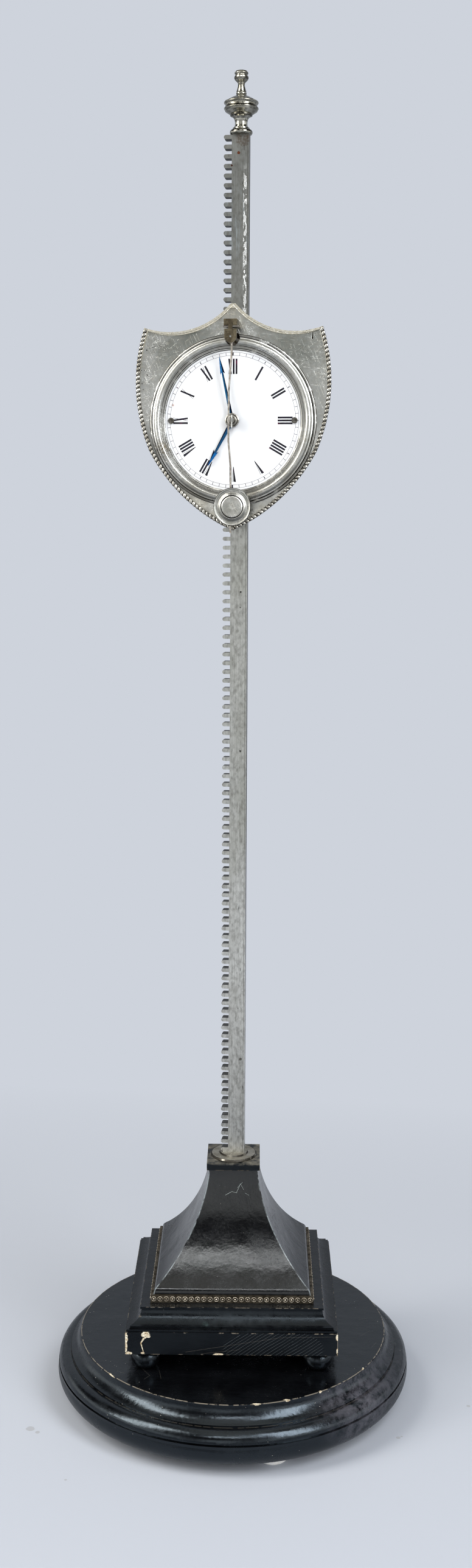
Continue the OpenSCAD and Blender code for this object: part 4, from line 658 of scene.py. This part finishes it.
        "box": (42.1, 40.0, 59.5, 0.3), "wornLow": 0.5, "rubbed": 0.5,
        "dusty": [((-12.0, -46.0, 54.5), 2.6, "#4e6461", 0.8, (1, 1, 1)),
                  ((0.0, -46.0, 53.0), 40.0, "#2c2f30", 0.35, (1, 1, 3))]}),
    "pyramid": ebonisedWood("pearWoodHollow", {
        "grain": (1, 1, 0.1), "rough": 0.2, "turn": pedestalTurn, "gloss": 0.8, "tint": "#eceff0",
        "box": (36.3, 59.0, 200.0, 0.3), "worn": "#a8a396", "arris": 0.45, "dust": 0.5,
        "lightMarks": ([
            (-3.6, 101.6, -0.6, 103.2, 0.14), (-0.6, 103.2, 1.6, 102.6, 0.12), (1.6, 102.6, 3.4, 106.8, 0.14),
            (3.4, 106.8, 5.0, 104.0, 0.1), (2.0, 105.0, 4.4, 107.4, 0.1), (5.6, 102.6, 7.4, 101.6, 0.1)
        ], "XZ", None, "#9ba39f", 0.7)}),
    "cap": ebonisedWood("pearWoodCap", {
        "grain": (0.1, 1, 1), "rough": 0.42, "turn": pedestalTurn,
        "box": (12.5, 113.4, 116.7, 0.35), "worn": "#6f6450", "wornLow": 0.5, "rubbed": 0.5,
        "dusty": [((0.0, 0.0, 116.9), 40.0, "#8f897a", 0.9, (1, 1, 30))]}),
}

dressing = {
    "base": ["round_base"], "glide": ["base_pads"], "feet": ["ball_feet"], "slab": ["plinth_slab"],
    "moulding": ["plinth_moulding"], "strip": ["beaded_strip"], "pyramid": ["pyramid"], "cap": ["cap_block"],
    "collar": ["collar"], "rack": ["rack"], "finial": ["finial"],
    "shield": ["shield"], "rim": ["edge_rim"], "bezel": ["bezel"], "enamel": ["dial"],
    "bob": ["pendulum_bob"], "screwSteel": ["dial_screws", "foot_screws"], "collet": ["hand_collet"],
    "steel": ["great_arbor", "centre_arbor", "third_arbor", "fourth_arbor", "escape_arbor", "pallet_arbor",
              "cannon_pinion", "minute_post", "guide_roller_upper", "guide_roller_lower",
              "roller_pins", "hand_pin"],
    "dullSteel": ["click", "pallets", "pendulum_rod", "taper_pin"],
    "minuteBlue": ["minute_hand"], "hourBlue": ["hour_hand"],
    "blueScrew": ["pillar_screws", "bridge_screws", "guide_screws",
                  "click_screws", "cock_screw", "click_spring"],
    "brass": ["back_plate", "pillars", "rear_bridge", "rack_guides", "shield_screws"],
    "brassDark": ["front_plate", "dial_posts"],
    "brassWheel": ["great_wheel", "centre_wheel", "third_wheel", "fourth_wheel", "escape_wheel",
                   "minute_wheel", "hour_wheel"],
    "bronze": ["pendulum_cock", "cock_leaf"],
}
for finish, names in dressing.items():
    for name in names:
        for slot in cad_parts[name].material_slots:
            slot.material = finishes[finish]
bare = set(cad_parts) - {n for names in dressing.values() for n in names}
print("nodes dressed, left bare:", sorted(bare))


def newMesh(name, verts, faces, finish, smooth=False):
    mesh = bpy.data.meshes.new(name)
    mesh.from_pydata([tuple(v) for v in verts], [], faces)
    mesh.materials.append(finish)
    mesh.polygons.foreach_set("use_smooth", [smooth] * len(mesh.polygons))
    made = bpy.data.objects.new(name, mesh)
    bpy.context.scene.collection.objects.link(made)
    return made


# dial printing in millimetres; ticks and dots are length, width and thickness
dialPrint = {
    "inner": 19.5, "outer": 25.9, "step": 1.22, "trackInner": 27.2, "trackOuter": 28.55, "hairline": 0.12,
    "tick": (1.25, 0.22, 0.02), "dot": (0.42, 0.42, 0.03), "tickLift": 0.012, "hourBar": (27.2, 28.6, 0.3),
    "thick": 0.016, "lift": 0.004, "barLift": 0.01}

# a letter's width in steps and its strokes: two places across at the outer end and two at the inner end
letters = {
    "I": (1.0, [(-0.4, 0.4, 0.4, -0.4)]),
    "V": (1.5, [(-0.95, 0.15, 0.36, 0.14), (0.65, 0.8, 0.34, 0.24)]),
    "X": (1.6, [(-0.8, -0.05, 0.8, 0.05), (0.55, 0.7, -0.55, -0.7)])}
hourWords = ["I", "II", "III", "IIII", "V", "VI", "VII", "VIII", "IX", "X", "XI", "XII"]


def printedInk(name, shades):
    # fired-on print, slightly glossy: a tone, then others, each with the patches that show it
    made, tree = newFinish(name)
    coords = millimetres(tree)
    colour = shades[0]
    for tone, pattern in shades[1:]:
        colour = tint(tree, colour, tone, cloud(tree, coords, *pattern))
    return surface(made, {"Base Color": colour, "Roughness": 0.3})


# violet black for the numerals, worn grey for the hairlines
ink = printedInk("inkFired", ["#08060c", ("#171226", (1.5,)), ("#4a1230", (4.0, 2.0, 0.6, 0.68))])
faintInk = printedInk("inkHairline", ["#2f2c36", ("#6d6a73", (2.5,))])


def dialPoint(r, across, hourAngle, y):
    # a point at radius r and `across` along the way the hands turn, in millimetres
    a = math.radians(hourAngle)
    x = r * math.sin(a) + across * math.cos(a)
    z = r * math.cos(a) - across * math.sin(a)
    return (rackAxis + x * mm, y, headHeight + z * mm)


def strokeSheet(name, strokes, finish, lift):
    # each stroke is four corners (r, across, angle) and becomes a thin raised plate
    verts, faces = [], []
    back = dialFront - lift * mm
    front = back - dialPrint["thick"] * mm
    for corners in strokes:
        base = len(verts)
        n = len(corners)
        verts += [dialPoint(r, w, a, y) for y in (front, back) for r, w, a in corners]
        faces.append([base + i for i in range(n)])
        faces.append([base + n + i for i in reversed(range(n))])
        faces += [[base + (i + 1) % n, base + i, base + n + i, base + n + (i + 1) % n] for i in range(n)]
    return newMesh(name, verts, faces, finish)


def numeralStrokes():
    inner, outer, step = dialPrint["inner"], dialPrint["outer"], dialPrint["step"]
    out = []
    for hour, word in enumerate(hourWords, 1):
        at = -sum(letters[c][0] for c in word) * step / 2
        for c in word:
            width, strokes = letters[c]
            middle = at + width * step / 2
            at += width * step
            for places in strokes:
                ends = zip((outer, outer, inner, inner), places)
                out.append([(r, middle + place, hour * 30) for r, place in ends])
    return out


def ringStrokes(radius, segments=180):
    half = dialPrint["hairline"] / 2
    turns = [i * 360 / segments for i in range(segments + 1)]
    return [[(radius + half, 0, a), (radius + half, 0, b), (radius - half, 0, b), (radius - half, 0, a)]
            for a, b in zip(turns, turns[1:])]


numerals = strokeSheet("dialNumerals", numeralStrokes(), ink, dialPrint["lift"])
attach(numerals, "head")
rings = ringStrokes(dialPrint["trackOuter"]) + ringStrokes(dialPrint["trackInner"])
track = strokeSheet("dialTrack", rings, faintInk, dialPrint["lift"])
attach(track, "head")


def nodeTree(name, inputs):
    tree = bpy.data.node_groups.new(name, "GeometryNodeTree")
    tree.interface.new_socket(name="Geometry", in_out="INPUT", socket_type="NodeSocketGeometry")
    for label, kind, value in inputs:
        socket = tree.interface.new_socket(name=label, in_out="INPUT", socket_type="NodeSocket" + kind)
        if kind != "Material":
            socket.default_value = value
    tree.interface.new_socket(name="Geometry", in_out="OUTPUT", socket_type="NodeSocketGeometry")
    return tree, addNode(tree, "NodeGroupInput")


def closeTree(tree, entry, made):
    solid = addNode(tree, "GeometryNodeRealizeInstances", {"Geometry": made})
    dressed = addNode(tree, "GeometryNodeSetMaterial", {"Geometry": solid, "Material": (entry, "Finish")})
    addNode(tree, "NodeGroupOutput", {"Geometry": dressed})
    return tree


def runTree(piece, tree, values):
    # sets the inputs by identifier, runs the tree once and keeps its result as a plain mesh
    modifier = piece.modifiers.new("made", "NODES")
    modifier.node_group = tree
    for item in tree.interface.items_tree:
        if item.in_out == "INPUT" and item.name in values:
            modifier[item.identifier] = values[item.name]
    graph = bpy.context.evaluated_depsgraph_get()
    mesh = bpy.data.meshes.new_from_object(piece.evaluated_get(graph))
    piece.modifiers.clear()
    piece.data = mesh
    return piece


def minuteTickTree():
    # one short bar per minute round the track
    tree, entry = nodeTree("minuteTicks", [
        ("Count", "Int", 60), ("Radius", "Float", 0.028), ("Length", "Float", 0.001),
        ("Width", "Float", 0.0002), ("Thickness", "Float", 0.00002), ("Finish", "Material", None)])
    ring = addNode(tree, "GeometryNodeMeshCircle", {
        "Vertices": (entry, "Count"), "Radius": (entry, "Radius")})
    place = addNode(tree, "GeometryNodeInputPosition")
    outward = addNode(tree, "FunctionNodeAlignRotationToVector", {"axis": "X", "Vector": place})
    size = addNode(tree, "ShaderNodeCombineXYZ", {
        0: (entry, "Length"), 1: (entry, "Width"), 2: (entry, "Thickness")})
    bar = addNode(tree, "GeometryNodeMeshCube", {"Size": size})
    ticks = addNode(tree, "GeometryNodeInstanceOnPoints", {
        "Points": ring, "Instance": bar, "Rotation": outward})
    upright = addNode(tree, "GeometryNodeTransform", {
        "Geometry": ticks, "Rotation": (math.radians(90), 0, 0),
        "Translation": (rackAxis, dialFront - dialPrint["tickLift"] * mm, headHeight)})
    return closeTree(tree, entry, upright)


def ringOfBars(name, tree, count, size, finish):
    # bars of one size round the middle of the minute track
    radius = (dialPrint["trackInner"] + dialPrint["trackOuter"]) / 2
    length, width, thickness = (side * mm for side in size)
    return runTree(newMesh(name, [(0, 0, 0)], [], ink), tree, {
        "Count": count, "Radius": radius * mm, "Length": length, "Width": width,
        "Thickness": thickness, "Finish": finish})


tickTree = minuteTickTree()
ticks = ringOfBars("dialTicks", tickTree, 60, dialPrint["tick"], faintInk)
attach(ticks, "head")
dots = ringOfBars("dialDots", tickTree, 12, dialPrint["dot"], ink)
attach(dots, "head")
low, high, half = dialPrint["hourBar"]
barStrokes = [[(high, -half, a), (high, half, a), (low, half, a), (low, -half, a)] for a in (0, 180)]
bars = strokeSheet("dialBars", barStrokes, ink, dialPrint["barLift"])
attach(bars, "head")
print("dial printed")


def shieldSide(height, inset):
    # right edge of the shield at a height above the middle of the dial
    return min(math.sqrt(max((radius - inset) ** 2 - (height - z) ** 2, 0)) + x
               for x, z, radius in (shieldEdge["side"], shieldEdge["flank"]))


def borderLine():
    # polyline from the left tip down round the foot to the right tip
    right = []
    height = shieldEdge["tip"]
    while height > shieldEdge["foot"]:
        x = shieldSide(height, shieldEdge["inset"])
        if x <= 0:
            break
        right.append((x, height))
        height -= shieldEdge["step"]
    return [(-x, z) for x, z in right] + right[::-1]


def borderTree():
    # a raised lobe every `Pitch` along the line, leaning like the lay of a rope
    tree, entry = nodeTree("gadroonBorder", [
        ("Pitch", "Float", 0.0018), ("Length", "Float", 0.0009), ("Width", "Float", 0.0005),
        ("Height", "Float", 0.0006), ("Lean", "Float", 0.6), ("Finish", "Material", None)])
    line = addNode(tree, "GeometryNodeMeshToCurve", {"Mesh": (entry, "Geometry")})
    even = addNode(tree, "GeometryNodeResampleCurve", {
        "mode": "LENGTH", "Curve": line, "Length": (entry, "Pitch")})
    along = addNode(tree, "GeometryNodeInputTangent")
    ahead = addNode(tree, "FunctionNodeAlignRotationToVector", {"axis": "X", "Vector": along})
    level = addNode(tree, "FunctionNodeAlignRotationToVector", {
        "axis": "Z", "pivot_axis": "X", "Rotation": ahead, "Vector": (0, -1, 0)})
    lean = addNode(tree, "ShaderNodeCombineXYZ", {2: (entry, "Lean")})
    turn = addNode(tree, "FunctionNodeEulerToRotation", {0: lean})
    leaning = addNode(tree, "FunctionNodeRotateRotation", {
        "rotation_space": "LOCAL", "Rotation": level, 1: turn})
    lobe = addNode(tree, "GeometryNodeMeshUVSphere", {"Segments": 12, "Rings": 7, "Radius": 1.0})
    size = addNode(tree, "ShaderNodeCombineXYZ", {
        0: (entry, "Width"), 1: (entry, "Length"), 2: (entry, "Height")})
    shaped = addNode(tree, "GeometryNodeTransform", {"Geometry": lobe, "Scale": size})
    smooth = addNode(tree, "GeometryNodeSetShadeSmooth", {"Geometry": shaped})
    lobes = addNode(tree, "GeometryNodeInstanceOnPoints", {
        "Points": even, "Instance": smooth, "Rotation": leaning})
    return closeTree(tree, entry, lobes)


lobeFront = shieldFront - shieldEdge["lobesForward"] * mm
points = [(rackAxis + x * mm, lobeFront, headHeight + z * mm) for x, z in borderLine()]
border = newMesh("shieldBorder", points, [], finishes["lobes"])
border.data.edges.add(len(points) - 1)
for i in range(len(points) - 1):
    border.data.edges[i].vertices = (i, i + 1)
runTree(border, borderTree(), {
    "Pitch": shieldEdge["pitch"] * mm, "Length": shieldEdge["length"] * mm, "Width": shieldEdge["width"] * mm,
    "Height": shieldEdge["height"] * mm, "Lean": math.radians(shieldEdge["lean"]),
    "Finish": finishes["lobes"]})
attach(border, "head")
print("border laid, faces:", len(border.data.polygons))

# pearls on the pressed strip round the pyramid's foot, in millimetres
pearls = {"halfWidth": 37.55, "height": 61.2, "pitch": 2.85, "ring": 1.05, "ringWire": 0.24, "dot": 0.5}


def pearlRows():
    # places and outward directions along the four sides
    half, z = pearls["halfWidth"], pearls["height"]
    count = int(2 * half / pearls["pitch"])
    pitch = 2 * half / count
    spots = []
    for side in range(4):
        a = pedestalTurn + side * math.pi / 2
        out = Vector((math.sin(a), -math.cos(a), 0))
        across = Vector((math.cos(a), math.sin(a), 0))
        for i in range(count):
            spots.append((across * (-half + (i + 0.5) * pitch) + out * half + Vector((0, 0, z)), out))
    return spots


def pearlTree():
    # at each point a ring of wire with a dot in it, turned to face the way the point does
    tree, entry = nodeTree("pearlRow", [
        ("Ring", "Float", 0.001), ("Wire", "Float", 0.0002), ("Dot", "Float", 0.0005),
        ("Finish", "Material", None)])
    circle = addNode(tree, "GeometryNodeCurvePrimitiveCircle", {"Resolution": 16, "Radius": (entry, "Ring")})
    profile = addNode(tree, "GeometryNodeCurvePrimitiveCircle", {"Resolution": 6, "Radius": (entry, "Wire")})
    ring = addNode(tree, "GeometryNodeCurveToMesh", {"Curve": circle, "Profile Curve": profile})
    dot = addNode(tree, "GeometryNodeMeshUVSphere", {"Segments": 10, "Rings": 6, "Radius": (entry, "Dot")})
    both = addNode(tree, "GeometryNodeJoinGeometry", {"Geometry": ring})
    tree.links.new(dot.outputs[0], both.inputs[0])
    smooth = addNode(tree, "GeometryNodeSetShadeSmooth", {"Geometry": both})
    facing = addNode(tree, "GeometryNodeInputNamedAttribute", {"data_type": "FLOAT_VECTOR", "Name": "facing"})
    turn = addNode(tree, "FunctionNodeAlignRotationToVector", {"axis": "Z", "Vector": facing})
    row = addNode(tree, "GeometryNodeInstanceOnPoints", {
        "Points": (entry, "Geometry"), "Instance": smooth, "Rotation": turn})
    return closeTree(tree, entry, row)


spots = pearlRows()
stripPearls = newMesh("stripPearls", [place * mm for place, out in spots], [], finishes["pearls"])
facing = stripPearls.data.attributes.new("facing", "FLOAT_VECTOR", "POINT")
for i, (place, out) in enumerate(spots):
    facing.data[i].vector = out
runTree(stripPearls, pearlTree(), {
    "Ring": pearls["ring"] * mm, "Wire": pearls["ringWire"] * mm, "Dot": pearls["dot"] * mm,
    "Finish": finishes["pearls"]})
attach(stripPearls, "stand")
print("pearls set, faces:", len(stripPearls.data.polygons))

# camera: its place in millimetres, its turns in radians, its picture's height and focal length in millimetres
view = {
    "place": (91.6, -721.6, 409.0), "turn": 0.122, "dip": 0.1543, "roll": 0.0049,
    "height": 36, "focal": 36.62, "shift": -0.0038, "near": 0.01, "far": 50}


def makeCamera():
    yaw, dip, roll = view["turn"], view["dip"], view["roll"]
    right = Vector((math.cos(yaw), math.sin(yaw), 0))
    ahead = Vector((-math.sin(yaw) * math.cos(dip), math.cos(yaw) * math.cos(dip), -math.sin(dip)))
    up = right.cross(ahead)
    rightRolled = right * math.cos(roll) + up * math.sin(roll)
    upRolled = up * math.cos(roll) - right * math.sin(roll)
    lens = bpy.data.cameras.new("camera")
    lens.sensor_fit = "VERTICAL"
    lens.sensor_height = view["height"]
    lens.lens = view["focal"]
    lens.shift_x = view["shift"]
    lens.clip_start = view["near"]
    lens.clip_end = view["far"]
    made = bpy.data.objects.new("camera", lens)
    pose = Matrix((rightRolled, upRolled, -ahead)).transposed().to_4x4()
    pose.translation = Vector(view["place"]) * mm
    made.matrix_world = pose
    bpy.context.scene.collection.objects.link(made)
    bpy.context.scene.camera = made


makeCamera()

# floor and backdrop in one sweep, in metres, and the tones that show behind the clock and in its metal
sweep = {"front": -3.0, "back": 1.2, "radius": 0.9, "top": 4.5, "half": 4.0, "steps": 16}
studio = {
    "seen": "#ced3dc", "paper": ("#babec5", "#b7bbc3"), "grubby": "#8f8a86",
    "sky": "#f2f4f8", "skyStrength": 0.32,
    "floorMirrored": ("#5f6369", "#73777d", "#e2e5ea"), "wallMirrored": "#a3a7ad",
    "roomLow": "#fafbfa", "roomDark": "#0a0b0c", "roomTop": "#d6d4cc", "roomSides": "#3c3d3f"}


def plainPaper(name):
    # matt photographic paper, even in tone behind the clock and further off; metal sees darker tones of it
    made, tree = newFinish(name)
    coords = millimetres(tree)
    depth, height = along(tree, coords, "Y"), along(tree, coords, "Z")
    ray = addNode(tree, "ShaderNodeLightPath")
    grubby = marksOn(tree, coords, [
        (81.9, -39.8, 1.1), (83.4, -38.6, 0.6), (-87.5, -54.5, 2.2), (-83.5, -57.0, 1.2), (114.3, -8.3, 1.0),
        (-62.0, -92.0, 0.7)], "XY")
    colour = tint(tree, *studio["paper"], cloud(tree, coords, 400.0, 2.0))
    colour = tint(tree, colour, studio["grubby"], grubby, 0.4)
    matt = addNode(tree, "ShaderNodeBsdfPrincipled", {
        "Base Color": colour, "Roughness": 0.9, "Specular IOR Level": 0.1})
    even = addNode(tree, "ShaderNodeEmission", {"Color": linearColour(studio["seen"])})
    around = ramp(tree, radiusFrom(tree, coords, "Z"), 450.0, 1100.0)
    far = fold(tree, "MAXIMUM", around, ramp(tree, depth, 40.0, 400.0))
    far = fold(tree, "MULTIPLY", far, (ray, "Is Camera Ray"))
    direct = addNode(tree, "ShaderNodeMixShader", {0: far, 1: matt, 2: even})
    near, middle, front = studio["floorMirrored"]
    ahead = ramp(tree, depth, -70.0, -160.0)
    tone = tint(tree, near, studio["wallMirrored"], ramp(tree, height, 20.0, 150.0))
    tone = tint(tree, tone, middle, ahead)
    tone = tint(tree, tone, front, ramp(tree, depth, -300.0, -480.0))
    mirrored = addNode(tree, "ShaderNodeEmission", {"Color": tone})
    away = fold(tree, "MAXIMUM", ramp(tree, height, 150.0, 600.0), ahead,
                ramp(tree, depth, 200.0, 60.0, 0.0, 0.5))
    hidden = fold(tree, "MULTIPLY", away, (ray, "Is Glossy Ray"))
    both = addNode(tree, "ShaderNodeMixShader", {0: hidden, 1: direct, 2: mirrored})
    addNode(tree, "ShaderNodeOutputMaterial", {"Surface": both})
    return made


def makeSweep():
    # floor that curves up into a wall behind
    back, radius = sweep["back"], sweep["radius"]
    turns = [i * math.pi / 2 / sweep["steps"] for i in range(sweep["steps"] + 1)]
    profile = [(sweep["front"], 0.0)]
    profile += [(back + radius * math.sin(a), radius - radius * math.cos(a)) for a in turns]
    profile.append((back + radius, sweep["top"]))
    verts = [(x, y, z) for y, z in profile for x in (-sweep["half"], sweep["half"])]
    faces = [[2 * i, 2 * i + 1, 2 * i + 3, 2 * i + 2] for i in range(len(profile) - 1)]
    made = newMesh("sweep", verts, faces, plainPaper("paperBackdrop"), True)


def makeWorld():
    # polished metal and wood see a pale room at the level of the clock, dark above it and beside it
    world = bpy.data.worlds.new("studio")
    bpy.context.scene.world = world
    world.use_nodes = True
    tree = world.node_tree
    tree.nodes.clear()
    aim = (addNode(tree, "ShaderNodeTexCoord"), "Generated")
    ray = addNode(tree, "ShaderNodeLightPath")
    height = along(tree, aim, "Z")
    sideways = addNode(tree, "ShaderNodeMath", {"operation": "ABSOLUTE", 0: along(tree, aim, "X")})
    room = tint(tree, studio["roomLow"], studio["roomDark"], ramp(tree, height, 0.27, 0.38))
    room = tint(tree, room, studio["roomTop"], ramp(tree, height, 0.8, 0.9))
    room = tint(tree, room, studio["roomSides"], band(tree, sideways, 0.3, 0.04, 0.1))
    lit = addNode(tree, "ShaderNodeBackground", {
        "Color": linearColour(studio["sky"]), "Strength": studio["skyStrength"]})
    mirrored = addNode(tree, "ShaderNodeBackground", {"Color": room})
    plain = addNode(tree, "ShaderNodeBackground", {"Color": linearColour(studio["seen"])})
    both = addNode(tree, "ShaderNodeMixShader", {0: (ray, "Is Glossy Ray"), 1: lit, 2: mirrored})
    both = addNode(tree, "ShaderNodeMixShader", {0: (ray, "Is Camera Ray"), 1: both, 2: plain})
    addNode(tree, "ShaderNodeOutputWorld", {"Surface": both})


makeSweep()
makeWorld()

# soft boxes: place and aim in metres, width and height, watts; shine is whether polished faces mirror the box
lamps = {
    "boxLeft": {"place": (-0.95, -0.55, 0.98), "aim": (0, 0, 0.15), "size": (0.5, 1.3),
                "power": 17.0, "colour": "#fffdf8", "shine": True},
    "boxRight": {"place": (0.82, -0.72, 0.98), "aim": (0, 0, 0.15), "size": (0.5, 1.3),
                 "power": 16.5, "colour": "#f8fbff", "shine": True},
    "boxFront": {"place": (0.1, -1.6, 0.8), "aim": (0, 0, 0.4), "size": (1.2, 0.5),
                 "power": 4.0, "colour": "#ffffff", "shine": False},
    "boxBand": {"place": (0.12, -1.45, 1.7), "aim": (0, 0, 0.1), "size": (0.8, 0.34),
                "power": 5.2, "colour": "#ffffff", "shine": True},
}
for name, lamp in lamps.items():
    light = bpy.data.lights.new(name, "AREA")
    light.shape = "RECTANGLE"
    light.size, light.size_y = lamp["size"]
    light.energy = lamp["power"]
    light.color = linearColour(lamp["colour"])[:3]
    made = bpy.data.objects.new(name, light)
    made.location = lamp["place"]
    made.visible_glossy = lamp["shine"]
    made.rotation_euler = (Vector(lamp["aim"]) - made.location).to_track_quat("-Z", "Y").to_euler()
    bpy.context.scene.collection.objects.link(made)
print("stage and light set")

bpy.context.scene.view_settings.view_transform = "Standard"
print("scene finished")
